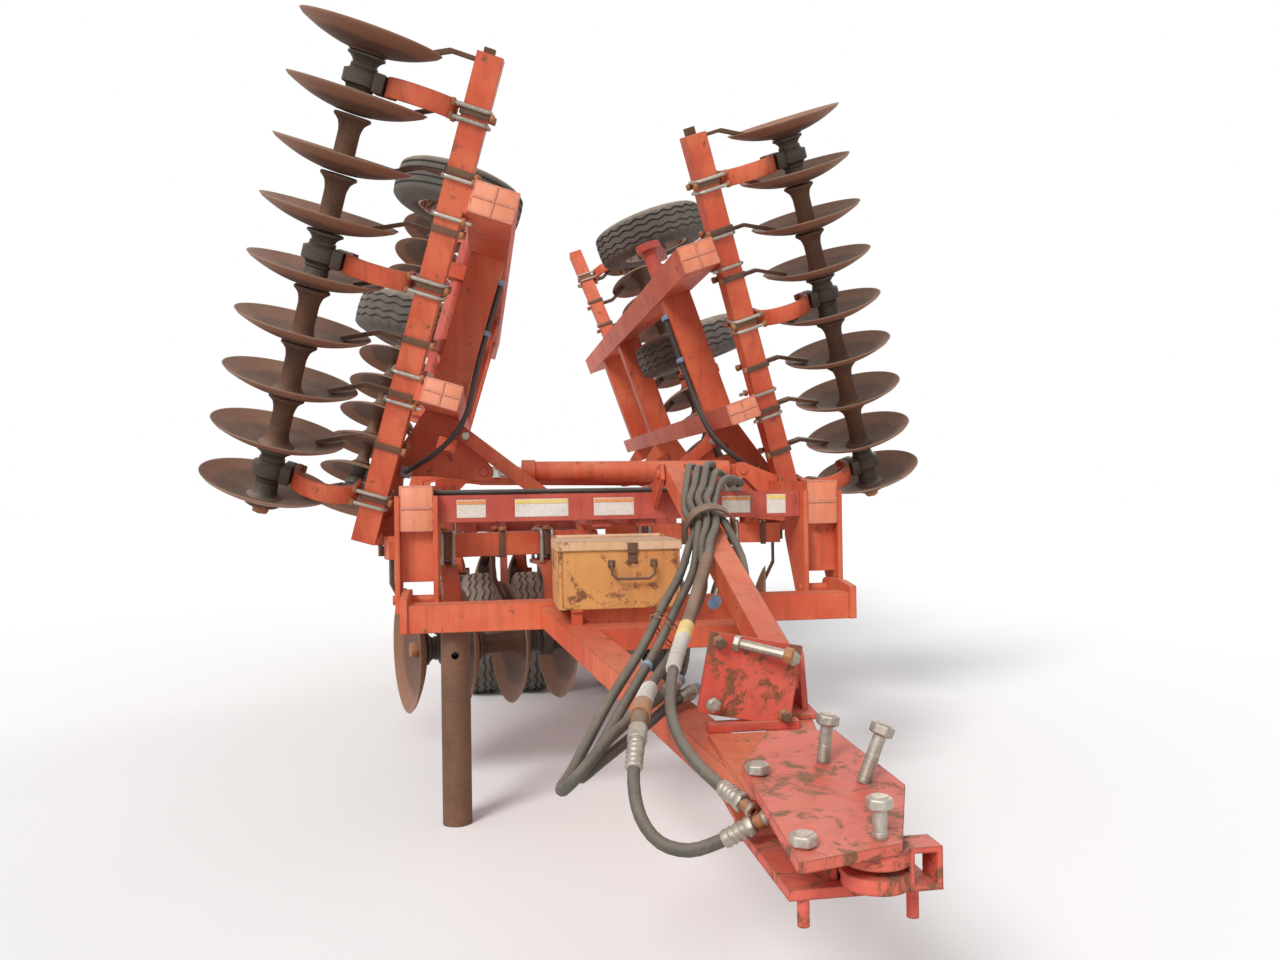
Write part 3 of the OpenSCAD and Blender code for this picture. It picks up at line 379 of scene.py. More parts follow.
RUBBER = dict(metal=0.0, dust=0.25, bump_height=0.2)
LABEL = dict(metal=0.0, dust=0.2, bump_height=0.05)
METALS = {
    "rusty_steel": ((0.060, 0.028, 0.017), (0.200, 0.085, 0.042), 0.62, {}),
    "nut_rust": ((0.22, 0.075, 0.025), (0.50, 0.20, 0.07), 0.65, {}),
    "bearing_black": ((0.018, 0.016, 0.014), (0.08, 0.062, 0.048), 0.45, dict(metal=0.2, dust=0.5)),
    "black_iron": ((0.045, 0.024, 0.016), (0.16, 0.075, 0.04), 0.55, {}),
    "zinc_plate": ((0.24, 0.21, 0.17), (0.56, 0.52, 0.45), 0.36, dict(metal=0.75)),
    "rod_chrome": ((0.48, 0.47, 0.45), (0.72, 0.72, 0.70), 0.16,
                   dict(metal=0.95, dust=0.1, bump_height=0.02)),
    "tyre_rubber": ((0.032, 0.032, 0.031), (0.115, 0.105, 0.095), 0.75, dict(metal=0.0, dust=0.55)),
    "hose_rubber": ((0.026, 0.024, 0.020), (0.105, 0.095, 0.074), 0.5, RUBBER),
    "black_rubber": ((0.012, 0.012, 0.012), (0.05, 0.048, 0.045), 0.45,
                     {**RUBBER, "dust": 0.2, "bump_height": 0.1}),
    "label_white": ((0.60, 0.52, 0.43), (0.82, 0.77, 0.70), 0.5, {**LABEL, "dust": 0.15}),
    "label_orange": ((0.62, 0.22, 0.06), (0.80, 0.38, 0.16), 0.5, LABEL),
    "label_yellow": ((0.70, 0.48, 0.10), (0.86, 0.68, 0.26), 0.5, LABEL),
    "tape_white": ((0.46, 0.42, 0.36), (0.78, 0.74, 0.68), 0.6, dict(metal=0.0, dust=0.3)),
    "cap_blue": ((0.10, 0.20, 0.33), (0.22, 0.36, 0.52), 0.45, {**LABEL, "dust": 0.35}),
    "weld_bead": ((0.50, 0.13, 0.08), (0.78, 0.30, 0.20), 0.6, dict(metal=0.0, bump_height=0.9)),
}
FINISH["worn_disc_steel"] = blade_steel("worn_disc_steel")
for name, (dark, light, rough, more) in METALS.items():
    FINISH[name] = bare_metal(name, dark, light, rough, **more)
print("finishes:", len(FINISH))

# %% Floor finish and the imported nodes' finishes
floor_finish = bpy.data.materials.new("pale_floor")
floor_finish.use_nodes = True
floor_shader = floor_finish.node_tree.nodes["Principled BSDF"]
floor_shader.inputs["Base Color"].default_value = (0.90, 0.89, 0.87, 1)
floor_shader.inputs["Roughness"].default_value = 0.9
floor_mesh.materials.append(floor_finish)

SLOT_OF = {part["node"]: part.get("material_slot") for part in frame["record"]["subparts"]}
for name, node in frame["nodes"].items():
    node.data.materials.clear()
    node.data.materials.append(FINISH[SLOT_OF.get(name) or "faded_red_paint"])
print("slots in use:", sorted(set(filter(None, SLOT_OF.values()))))

# %% [markdown]
# ## Hoses
# Five hydraulic hoses leave the valve block, lie over the levelling link inside its ring, hang
# beside the tongue and end in couplers at the hitch. Each is a smooth line through the same
# points as its solid, rounded by a curve's bevel and then kept as a mesh, because a mesh has a
# close-fitting box. The points run as X, Y behind the front caps, and height, in millimetres.

# %% Hoses
MM = 0.001
HOSE_R = 13.5 * MM
COURSE_STEPS = 3
HOSE_ROUTES = {
    "hose_left": [
        (316, 54, 1269), (305, -60, 1290), (270, -150, 1325), (215, -250, 1338), (185, -350, 1300),
        (158, -450, 1254), (122, -600, 1176), (127, -728, 1120), (90, -800, 1056), (35, -935, 985),
        (-45, -1095, 915), (-150, -1295, 810), (-260, -1495, 725), (-335, -1625, 650),
        (-380, -1685, 595), (-410, -1765, 585), (-410, -1865, 610), (-375, -1895, 655),
        (-305, -1795, 695), (-230, -1675, 715), (-150, -1555, 730), (-95, -1475, 745)],
    "hose_middle": [
        (356, 54, 1269), (342, -60, 1282), (305, -150, 1316), (248, -250, 1332), (218, -350, 1304),
        (188, -450, 1260), (140, -600, 1204), (141, -728, 1148), (122, -800, 1095),
        (85, -895, 990), (0, -1075, 910), (-105, -1285, 810), (-215, -1495, 725),
        (-295, -1625, 650), (-335, -1695, 615), (-365, -1775, 610), (-365, -1855, 635),
        (-320, -1815, 655), (-240, -1695, 670), (-155, -1555, 685), (-100, -1495, 705),
        (-45, -1435, 715)],
    "hose_loop": [
        (336, 54, 1299), (338, -60, 1318), (330, -150, 1346), (281, -250, 1342), (250, -350, 1304),
        (218, -450, 1260), (168, -600, 1214), (169, -728, 1160), (152, -795, 1122),
        (122, -860, 1066), (100, -975, 945), (35, -1075, 855), (-50, -1235, 790),
        (-145, -1475, 760), (-220, -1755, 760), (-255, -1885, 710), (-275, -1965, 645),
        (-270, -2025, 590), (-240, -2075, 555), (-190, -2115, 550), (-135, -2135, 570),
        (-85, -2155, 600)],
    "hose_taped": [
        (448, 54, 1268), (425, -60, 1280), (375, -150, 1300), (320, -250, 1317), (282, -350, 1286),
        (246, -450, 1244), (198, -600, 1212), (199, -728, 1159), (182, -800, 1126),
        (142, -890, 1084), (118, -960, 1040), (10, -1215, 900), (-70, -1435, 835),
        (-130, -1635, 790), (-160, -1785, 745), (-155, -1885, 700), (-125, -1975, 660),
        (-80, -2075, 630)],
    "hose_right": [
        (484, 54, 1268), (468, -60, 1272), (425, -150, 1284), (360, -250, 1292), (304, -350, 1262),
        (264, -450, 1216), (226, -600, 1184), (227, -728, 1142), (260, -835, 1030),
        (240, -975, 925), (235, -1075, 845)],
}


def along(a, b, c, d, t):
    """A point between b and c on the smooth curve through a, b, c and d."""
    return 0.5 * (2 * b + (c - a) * t + (2 * a - 5 * b + 4 * c - d) * t * t
                  + (3 * b - a - 3 * c + d) * t * t * t)


def smooth_line(stops, steps):
    """The smooth line through some stops, with the same number of steps between each two."""
    last = len(stops) - 1
    line = []
    for i in range(last):
        corner = (stops[max(i - 1, 0)], stops[i], stops[i + 1], stops[min(i + 2, last)])
        line += [along(*corner, step / steps) for step in range(steps)]
    return line + [stops[last]]


def round_bar(name, points, radius, turns=3):
    """A curve object with a round section that runs through the points."""
    line = bpy.data.curves.new(name, "CURVE")
    line.dimensions = "3D"
    line.bevel_depth, line.bevel_resolution = radius, turns
    line.use_fill_caps = True
    spline = line.splines.new("POLY")
    spline.points.add(len(points) - 1)
    for knot, point in zip(spline.points, points):
        knot.co = (*point, 1.0)
    spline.use_smooth = True
    return new_object(name, line)


def add_hose(name, line, radius, body, finish_name="hose_rubber"):
    """A round bar kept as a mesh, riding on a body."""
    bar = round_bar(name + "_line", line, radius)
    shown = bar.evaluated_get(bpy.context.evaluated_depsgraph_get())
    mesh = bpy.data.meshes.new_from_object(shown)
    bpy.data.objects.remove(bar)
    mesh.shade_smooth()
    mesh.materials.append(FINISH[finish_name])
    piece = new_object(name, mesh)
    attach(piece, body)
    return piece


hoses = {}
for name, route in HOSE_ROUTES.items():
    line = smooth_line([Vector((x * MM, FRONT_Y + y * MM, z * MM)) for x, y, z in route],
                       COURSE_STEPS)
    piece = add_hose(name + "_rubber", line, HOSE_R, BODY_OF[name])
    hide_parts(name)
    hoses[name] = (piece, line)
print("hoses:", sorted(hoses))

# %% [markdown]
# ## Places on the harrow
# A folded wing is easiest to build lowered, in its own frame, and then to turn up about its
# fold pins. These matrices take a piece from a wing's or a gang's own frame to its place. The
# left half is the right half mirrored, so pieces are turned inside in where needed.

# %% Frames of the wings and the gangs
LEFT, RIGHT = -1, 1
FRONT, REAR = -1, 1
SIDES, ROWS, BOTH = (LEFT, RIGHT), (FRONT, REAR), (-1, 1)
SIDE_NAME = {LEFT: "left", RIGHT: "right"}
ROW_NAME = {FRONT: "front", REAR: "rear"}
HINGE_X, HINGE_Z = 1.016, 1.066
FOLD = {LEFT: 106.5, RIGHT: 109.5}
STAGGER = 0.680
AXLE_H, FIRST_U, GANG_TURN = 0.570, 0.034, 16
ROW_Y = {FRONT: 0.409, REAR: 3.400}
PITCH, BAR_RISE, BAR_W = 0.229, 0.447, 0.102
TUBE_B = 0.112


def mirror(way):
    """A mirror across X where the way is -1, and nothing where it is 1."""
    return Matrix.Diagonal((way, 1, 1, 1))


def half_y(side):
    return FRONT_Y + (STAGGER if side == RIGHT else 0)


def wing_at(side):
    return mirror(side) @ move(HINGE_X, half_y(side), HINGE_Z) @ turn(-FOLD[side], "Y")


def gang_at(side, row, on_wing):
    out = move(FIRST_U, ROW_Y[row], AXLE_H - HINGE_Z) @ turn(row * GANG_TURN, "Z")
    if on_wing:
        return wing_at(side) @ out
    return mirror(side) @ move(HINGE_X, half_y(side), HINGE_Z) @ out


print("wing tip, right:", [round(c, 2) for c in wing_at(RIGHT) @ Vector((2.5, 0, 0))])

# %% [markdown]
# ## From a bmesh to a piece
# Each shape starts as a bmesh. Shapes that come many times are kept as master meshes, and
# stamped where they belong, so that a gang is one piece of many blades.


def as_mesh(bm, name="master", smooth=40):
    """Ends a bmesh as a mesh that is smooth but for edges sharper than the angle."""
    mesh = bpy.data.meshes.new(name)
    bm.to_mesh(mesh)
    bm.free()
    mesh.shade_smooth()
    mesh.set_sharp_from_angle(angle=math.radians(smooth))
    return mesh


def stamp(bm, master, place, number=0):
    """Adds a copy of a master mesh at a place, in one of the piece's finishes."""
    copy = master.copy()
    copy.transform(place)
    if place.determinant() < 0:
        copy.flip_normals()
    copy.polygons.foreach_set("material_index", [number] * len(copy.polygons))
    bm.from_mesh(copy)
    bpy.data.meshes.remove(copy)


def as_piece(bm, name, body, finishes, slot_name=None, stands_for=(), place=None, smooth=40):
    """Ends a bmesh as a piece that rides on a body."""
    if place is not None:
        bm.transform(place)
        if place.determinant() < 0:
            bmesh.ops.reverse_faces(bm, faces=bm.faces)
    piece = new_object(name, as_mesh(bm, name, smooth))
    for finish_name in finishes:
        piece.data.materials.append(FINISH[finish_name])
    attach(piece, body)
    slot_name = slot_name or finishes[0]
    if stands_for:
        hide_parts(*stands_for)
    return piece


def join(bm, part, place=Matrix(), number=0):
    """Adds a bmesh to another at a place, in one of the piece's finishes."""
    mesh = as_mesh(part)
    stamp(bm, mesh, place, number)
    bpy.data.meshes.remove(mesh)


def turned(profile, steps, closed=True):
    """A bmesh turned about X from a profile of (x, radius) points."""
    bm = bmesh.new()
    verts = [bm.verts.new((x, 0, r)) for x, r in profile]
    edges = [bm.edges.new(pair) for pair in zip(verts, verts[1:])]
    if closed:
        edges.append(bm.edges.new((verts[-1], verts[0])))
    bmesh.ops.spin(bm, geom=verts + edges, cent=(0, 0, 0), axis=(1, 0, 0), angle=2 * math.pi,
                   steps=steps, use_merge=True)
    bmesh.ops.remove_doubles(bm, verts=bm.verts, dist=1e-5)
    bmesh.ops.recalc_face_normals(bm, faces=bm.faces)
    return bm


def tube(start, end, inner, outer):
    """Outline of a plain ring between two places on the axis."""
    return [(start, inner), (start, outer), (end, outer), (end, inner)]


def and_back(points, length=0.0):
    """An outline, and the same outline back from the other end of a length."""
    return points + [(length - x, r) for x, r in points[::-1]]


def soften(bm, edges, width, segments=1):
    bmesh.ops.bevel(bm, geom=edges, offset=width, segments=segments, profile=0.5, affect="EDGES",
                    material=-1)


def span(middle, half_width):
    return middle - half_width, middle + half_width


def block(x, y, z, soft=0.004, segments=2):
    """A block between two values on each axis, with its edges rounded."""
    bm = bmesh.new()
    bmesh.ops.create_cube(bm, size=1)
    size = [b - a for a, b in (x, y, z)]
    bmesh.ops.scale(bm, vec=size, verts=bm.verts)
    bmesh.ops.translate(bm, vec=[(a + b) / 2 for a, b in (x, y, z)], verts=bm.verts)
    soften(bm, bm.edges[:], min(soft, min(size) * 0.3), segments)
    return bm


def hexagon(across, high, soft=0.0015):
    """A nut or bolt head that stands on the XY plane."""
    bm = bmesh.new()
    bmesh.ops.create_cone(bm, cap_ends=True, segments=6, radius1=across / math.sqrt(3),
                          radius2=across / math.sqrt(3), depth=high)
    bmesh.ops.translate(bm, vec=(0, 0, high / 2), verts=bm.verts)
    soften(bm, bm.edges[:], soft)
    return bm


def rod(points, radius, sides=10):
    """A bmesh of a round bar bent through points, made by a curve's bevel."""
    line = round_bar("rod_line", points, radius, turns=max(sides // 4, 1))
    mesh = line.to_mesh()
    bm = bmesh.new()
    bm.from_mesh(mesh)
    line.to_mesh_clear()
    bpy.data.objects.remove(line)
    return bm


# %% [markdown]
# ## Disc gangs
# A gang is a square axle with dished blades, a waisted spool between each two, and a pair of
# trumpet-shaped half spools at each bearing. All of these are turned shapes, so each is spun
# once from half of its outline. Front gangs have their hollow sides outward, rear gangs inward.

# %% Masters of blade, spools and nut
DISC_R, DISC_T, DISC_DISH = 0.270, 0.007, 0.072
SPHERE_R = (DISC_R ** 2 + DISC_DISH ** 2) / (2 * DISC_DISH)
BEARING_HALF = 0.039
BEARING_SHIFT = 0.016


def dish(r):
    return SPHERE_R - math.sqrt(SPHERE_R ** 2 - r * r)


steps = [DISC_R * i / 12 for i in range(12)]
back = [(dish(r), r) for r in steps]
back += [(dish(0.257), 0.257), (dish(DISC_R) + DISC_T - 0.002, DISC_R)]
hollow = [(dish(r) + DISC_T, r) for r in [DISC_R - 0.001] + steps[::-1]]
blade = as_mesh(turned(back + hollow, 56))


def spool_mesh(length):
    curve = [(0, 0.030), (0, 0.066), (0.003, 0.071), (0.012, 0.072), (0.020, 0.062), (0.032, 0.051),
             (0.048, 0.0455), (0.066, 0.042)]
    return as_mesh(turned(and_back(curve, length), 26))


def trumpet_mesh(length):
    shape = [(0, 0.030), (0, 0.067), (0.002, 0.072), (0.010, 0.072), (0.017, 0.060), (0.028, 0.050),
             (length - 0.014, 0.046), (length - 0.010, 0.052), (length, 0.052), (length, 0.030)]
    return as_mesh(turned(shape, 26))


GAP = PITCH - DISC_T
spool = spool_mesh(GAP)
nut = as_mesh(hexagon(0.060, 0.034))
washer = as_mesh(turned([(0, 0.02), (0, 0.070), (0.004, 0.072), (0.022, 0.072), (0.026, 0.066),
                         (0.026, 0.02)], 26))
journal = as_mesh(turned(tube(-BEARING_HALF, BEARING_HALF, 0.02, 0.034), 26))
print("blade faces:", len(blade.polygons), "dish:", round(dish(DISC_R), 3))


# %% Gangs
WING_DISCS = {FRONT: 9, REAR: 11}
CENTRE_DISCS = 4
WING_BEARINGS = {FRONT: (0, 4, 7), REAR: (0, 5, 9)}
CENTRE_BEARINGS = (-4, -2)
GANG_FINISHES = ("worn_disc_steel", "rusty_steel", "bearing_black", "nut_rust")


def bearing_x(number, face):
    """Middle of the bearing that follows a blade."""
    return (number + 0.5) * PITCH + DISC_T / 2 + face * BEARING_SHIFT


def gang(first, last, face, bearings):
    """Blades, spools, trumpets and end nuts, on an axle along X."""
    bm = bmesh.new()
    reach = bm.verts.layers.float.new("reach")
    for i in range(first, last + 1):
        stamp(bm, blade, move(i * PITCH, 0, 0) @ mirror(face))
        start, middle = i * PITCH + DISC_T / 2, bearing_x(i, face)
        if i == last:
            continue
        if i not in bearings:
            stamp(bm, spool, move(start, 0, 0) @ turn(i * 37, "X"), 1)
            continue
        stamp(bm, journal, move(middle, 0, 0), 2)
        near, far = middle - BEARING_HALF - start, start + GAP - middle - BEARING_HALF
        stamp(bm, trumpet_mesh(near), move(start, 0, 0), 2)
        stamp(bm, trumpet_mesh(far), move(start + GAP, 0, 0) @ mirror(-1), 2)
    for end, way in ((first, -1), (last, 1)):
        outward = move(end * PITCH, 0, 0) @ mirror(way)
        stamp(bm, washer, outward, 1)
        stamp(bm, nut, outward @ move(0.026, 0, 0) @ turn(90, "Y"), 3)
    for vert in bm.verts:
        vert[reach] = math.hypot(vert.co.y, vert.co.z) / DISC_R
    return bm


for side in SIDES:
    for row in ROWS:
        wing_gang = (0, WING_DISCS[row] - 1, -row, WING_BEARINGS[row])
        centre_gang = (-CENTRE_DISCS, -1, -row, CENTRE_BEARINGS)
        for on_wing, sizes in ((True, wing_gang), (False, centre_gang)):
            node = ("gang_wing_" if on_wing else "gang_") + ROW_NAME[row] + "_" + SIDE_NAME[side]
            piece = as_piece(gang(*sizes), node + "_blades", BODY_OF[node], GANG_FINISHES,
                             stands_for=(node,), place=gang_at(side, row, on_wing))
            print(piece.name, len(piece.data.polygons), "faces")

# %% [markdown]
# ## C springs and bearings
# Each bearing hangs from the gang bar by a C of flat spring steel that gives when a blade meets
# a stone. The C is a chain of edges, pulled out sideways and given its thickness. Two U-bolts
# clamp it under the bar, and a black housing with bolted flanges holds the journal.

# %% C spring, housing and clamp masters
SPRING_T, SPRING_W, SPRING_FOOT = 0.024, 0.076, 0.096


def spring_mesh():
    """A C of flat steel. Solidify grows it to one side, so it is moved back over its line."""
    high = BAR_RISE - BAR_W / 2 - SPRING_FOOT
    bulge, leg = 0.150 - SPRING_T / 2, 0.058
    half_high = (high - SPRING_T) / 2
    middle = SPRING_FOOT + high / 2
    line = [(leg, SPRING_FOOT + SPRING_T / 2)]
    for i in range(19):
        a = math.pi * i / 18
        line.append((-bulge * math.sin(a), middle - half_high * math.cos(a)))
    line.append((leg, SPRING_FOOT + high - SPRING_T / 2))
    bm = bmesh.new()
    verts = [bm.verts.new((-SPRING_W / 2, y, z)) for y, z in line]
    edges = [bm.edges.new(pair) for pair in zip(verts, verts[1:])]
    pulled = bmesh.ops.extrude_edge_only(bm, edges=edges)["geom"]
    bmesh.ops.translate(bm, vec=(SPRING_W, 0, 0),
                        verts=[g for g in pulled if isinstance(g, bmesh.types.BMVert)])
    bmesh.ops.recalc_face_normals(bm, faces=bm.faces)
    bmesh.ops.solidify(bm, geom=bm.faces[:], thickness=SPRING_T)
    bmesh.ops.recalc_face_normals(bm, faces=bm.faces)
    shift = SPRING_FOOT - min(vert.co.z for vert in bm.verts)
    bmesh.ops.translate(bm, vec=(0, 0, shift), verts=bm.verts)
    soften(bm, [e for e in bm.edges if e.calc_face_angle(0) > math.radians(60)], 0.003, 2)
    return as_mesh(bm)


spring = spring_mesh()
HOUSING_R = 0.072
housing = as_mesh(turned(and_back([(-0.038, 0.0345), (-0.038, 0.052), (-0.030, 0.056),
                                   (-0.024, HOUSING_R)]), 30))
saddle = as_mesh(block((-0.038, 0.038), (-0.060, 0.060), (0.052, SPRING_FOOT), 0.006))
small_nut = as_mesh(hexagon(0.030, 0.016))


def u_bolt_mesh(y, height, wire, corner=0.022):
    """A U-bolt over a tube of half width y, with legs down past its underside."""
    points = [(0, -y - wire, -height), (0, -y - wire, y - corner + 0.004)]
    for i in range(1, 6):
        a = math.pi / 2 * i / 6
        points.append((0, -y - wire + corner * (1 - math.cos(a)),
                       y - corner + wire + corner * math.sin(a)))
    points = points + [(0, -p[1], p[2]) for p in points[::-1]]
    return as_mesh(rod([Vector(p) for p in points], wire, 8))


U_WIRE, U_LEG = 0.009, 0.045
bar_bolt = u_bolt_mesh(BAR_W / 2, BAR_W / 2 + U_LEG, U_WIRE)
print("spring faces:", len(spring.polygons))


# %% Springs and bearings on their bars
SPRING_FINISHES = ("faded_red_paint", "bearing_black", "zinc_plate", "nut_rust")


def add_u_bolt(bm, place, x, nut_z, number, way_up=Matrix()):
    """A U-bolt on the gang bar and its two nuts, which have the next finish."""
    stamp(bm, bar_bolt, place @ move(x, 0, BAR_RISE) @ way_up, number)
    for w in BOTH:
        stamp(bm, small_nut, place @ move(x, w * (BAR_W / 2 + U_WIRE), nut_z), number + 1)


def add_hanger(bm, x, place):
    """A C spring with its housing, saddle, nuts and two U-bolts."""
    at = place @ move(x, 0, 0)
    stamp(bm, spring, at, 0)
    stamp(bm, housing, at, 1)
    stamp(bm, saddle, at, 1)
    for s in BOTH:
        for w in BOTH:
            stamp(bm, small_nut, at @ move(s * 0.022, w * 0.044, SPRING_FOOT + SPRING_T), 3)
    for s in BOTH:
        add_u_bolt(bm, at, s * 0.026, BAR_RISE - BAR_W / 2 - U_LEG, 2)


for side in SIDES:
    bm = bmesh.new()
    for row in ROWS:
        for number in WING_BEARINGS[row]:
            add_hanger(bm, bearing_x(number, -row), gang_at(side, row, True))
    name = "wing_hangers_" + SIDE_NAME[side]
    as_piece(bm, name + "_springs", BODY_OF[name], SPRING_FINISHES, stands_for=(name,))
bm = bmesh.new()
for side in SIDES:
    for row in ROWS:
        for number in CENTRE_BEARINGS:
            add_hanger(bm, bearing_x(number, -row), gang_at(side, row, False))
as_piece(bm, "centre_hanger_springs", "centre_frame", SPRING_FINISHES,
         stands_for=("centre_hangers",))
print("hangers stand for their packed solids")

# %% [markdown]
# ## Wheels
# Implement tyres come in many patterns, and this harrow has two: zigzag ribs with lugs on the
# shoulders, and straight ribs on the left wing's outer wheel. Both are the same turned outline
# with grooves. The waves and lugs are made by moving the spun vertices a little,
# which keeps the mesh light.

# %% Tyre and rim outlines
TYRE_R, TYRE_HALF, RIM_R = 0.370, 0.118, 0.200
AXLE_R = 0.030
HUB_L = TYRE_HALF + 0.014
GROOVE = 0.011


def tyre_outline():
    """Half the outline from the bead to the tread's middle, then mirrored."""
    w, r, b = TYRE_HALF, TYRE_R, RIM_R
    side_wall = [(w - 0.036, b - 0.004), (w - 0.026, b + 0.010), (w - 0.008, b + 0.030),
                 (w - 0.002, b + 0.055), (w, b + 0.078), (w - 0.003, b + 0.092),
                 (w - 0.001, b + 0.098), (w - 0.006, r - 0.052), (w - 0.014, r - 0.030),
                 (w - 0.026, r - 0.014)]
    tread = [(0.083, r - 0.006), (0.068, r - 0.004), (0.066, r - GROOVE - 0.004),
             (0.055, r - GROOVE - 0.003), (0.053, r - 0.002), (0.031, r), (0.029, r - GROOVE),
             (0.018, r - GROOVE), (0.016, r), (0.0, r)]
    one = side_wall + tread
    return one + [(-x, y) for x, y in one[-2::-1]]


def tyre_mesh(wave, lugs, lug_depth, shift):
    """The turned tyre, its ribs moved sideways in waves and its shoulders pressed in for lugs."""
    bm = turned(tyre_outline() + [(0, RIM_R - 0.004)], 144)
    for vert in bm.verts:
        r = math.hypot(vert.co.y, vert.co.z)
        angle = math.atan2(vert.co.z, vert.co.y)
        across = abs(vert.co.x)
        if across < 0.070 and r > TYRE_R - 0.020:
            vert.co.x += wave * math.asin(math.sin(angle * 24)) / (math.pi / 2)
        phase = math.sin(angle * lugs + (shift if vert.co.x > 0 else 0))
        if 0.078 < across < 0.113 and TYRE_R - 0.055 < r < TYRE_R - 0.003 and phase > 0.15:
            vert.co.y *= 1 - lug_depth / r
            vert.co.z *= 1 - lug_depth / r
    return as_mesh(bm, smooth=32)


zigzag_tyre = tyre_mesh(0.0085, 36, 0.011, math.pi / 2)
ribbed_tyre = tyre_mesh(0.0, 72, 0.0, 0.0)
flange = [(0.020, -0.003), (0.016, 0.014), (0.024, 0.016), (0.034, -0.001)]
outside = [(-TYRE_HALF + x, RIM_R + r) for x, r in flange] + [(-0.030, RIM_R - 0.016)]
inside = [(TYRE_HALF - 0.038, RIM_R - 0.009), (0.040, RIM_R - 0.024), (0.012, RIM_R - 0.026),
          (0.006, 0.120), (0.016, 0.098), (0.014, 0.062), (-0.002, 0.062), (0.002, 0.098),
          (-0.008, 0.120), (-0.008, RIM_R - 0.026), (-0.040, RIM_R - 0.024),
          (-TYRE_HALF + 0.038, RIM_R - 0.009)]
rim = as_mesh(turned(and_back(outside) + inside, 48))
hub = as_mesh(turned([(-HUB_L + 0.001, AXLE_R + 0.0002), (-HUB_L + 0.001, 0.048), (-0.030, 0.052),
                      (-0.012, 0.058), (-0.006, 0.080), (0.018, 0.080), (0.022, 0.056),
                      (0.060, 0.050), (0.072, 0.044), (0.076, 0.034),
                      (0.076, AXLE_R + 0.0002)], 32))
wheel_nut = as_mesh(hexagon(0.024, 0.014))
print("tyre faces:", len(zigzag_tyre.polygons))


# %% Eight wheels
WING_WHEEL_U = (1.140, 1.922)
WING_AXLE = (1.950, -0.216)
CENTRE_AXLE_Y, LIFT_ARM_X, LIFT_ARM_T = 2.400, 0.430, 0.044
WHEEL_FINISHES = ("tyre_rubber", "rim_paint", "rusty_steel", "nut_rust")


def add_wheel(node, tyre, place, spun):
    """Tyre, rim, hub and six nuts, turned a little so that no two wheels look alike."""
    bm = bmesh.new()
    stamp(bm, tyre, turn(spun, "X"), 0)
    stamp(bm, rim, Matrix(), 1)
    stamp(bm, hub, Matrix(), 2)
    for i in range(6):
        stamp(bm, wheel_nut, turn(i * 60 + spun, "X") @ move(0.018, 0, 0.068) @ turn(90, "Y"), 3)
    as_piece(bm, node + "_tyre", BODY_OF[node], WHEEL_FINISHES, stands_for=(node,), place=place,
             smooth=50)


for side in SIDES:
    for u, word in zip(WING_WHEEL_U, ("inner", "outer")):
        tyre = ribbed_tyre if (side, word) == (LEFT, "outer") else zigzag_tyre
        add_wheel(f"wheel_wing_{word}_{SIDE_NAME[side]}", tyre,
                  wing_at(side) @ move(u, *WING_AXLE), 17 * u)
    for out, word in ((1, "outer"), (-1, "inner")):
        x = LIFT_ARM_X + out * (LIFT_ARM_T / 2 + HUB_L)
        place = mirror(side) @ move(x, FRONT_Y + CENTRE_AXLE_Y, TYRE_R) @ mirror(out)
        add_wheel(f"wheel_centre_{word}_{SIDE_NAME[side]}", zigzag_tyre, place, 31 * out)
print("wheels stand for their packed solids")

# %% [markdown]
# ## Ends of the tubes
# Every tube of the frame is closed by a plate that the sun has bleached to salmon. A welder
# closed it with a bead around its edge and two beads across. The plate is a thin block just
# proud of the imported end, and a bead is a bar with its vertices jogged to look laid by hand.

# %% Cap plates and weld beads
CAP_T, CAP_INSET = 0.004, 0.004


def bead(points, radius=0.004, ripple=0.0011):
    """A weld bead along points, with ripples."""
    line = []
    for a, b in zip(points, points[1:]):
        count = max(int((b - a).length / 0.006), 1)
        line += [a.lerp(b, i / count) for i in range(count)]
    bm = rod(line + [points[-1]], radius, 4)
    for vert in bm.verts:
        vert.co.y += math.sin(vert.co.x * 900) * math.cos(vert.co.z * 870) * ripple
    return bm


def add_cap(bm, x, z, wide, high, y, place, cross=True):
    """A cap plate and its beads on the front of a tube that ends at y."""
    w, h = wide / 2, high / 2
    join(bm, block(span(x, w - CAP_INSET), (y - CAP_T, y + 0.001), span(z, h - CAP_INSET), 0.0025),
         place)
    ring = [(-w, -h), (w, -h), (w, h), (-w, h), (-w, -h)]
    join(bm, bead([Vector((x + a * 0.965, y - 0.001, z + b * 0.975)) for a, b in ring]), place, 1)
    for bar in [((-w, 0), (w, 0))] + [((0, -h), (0, h))] * cross:
        ends = [Vector((x + a * 0.9, y - CAP_T, z + b * 0.93)) for a, b in bar]
        join(bm, bead(ends, 0.0045), place, 1)


BEAM_X, BEAM_W, BEAM_H, BEAM_Z = 0.828, 0.127, 0.178, 1.190
OUTER_U, INNER_U, INNER_W, INNER_H = 1.395, 0.639, 0.102, 0.152
CAP_FINISHES = ("cap_paint", "weld_bead")

bm = bmesh.new()
for side in SIDES:
    add_cap(bm, BEAM_X, BEAM_Z, BEAM_W, BEAM_H, FRONT_Y, mirror(side), cross=False)
as_piece(bm, "beam_caps", "centre_frame", CAP_FINISHES)
for side, word in SIDE_NAME.items():
    bm = bmesh.new()
    add_cap(bm, OUTER_U, TUBE_B, BEAM_W, BEAM_H, -0.106, wing_at(side))
    add_cap(bm, INNER_U, TUBE_B, INNER_W, INNER_H, 0.071, wing_at(side))
    as_piece(bm, "wing_caps_" + word, "wing_" + word, CAP_FINISHES)
print("caps are on")

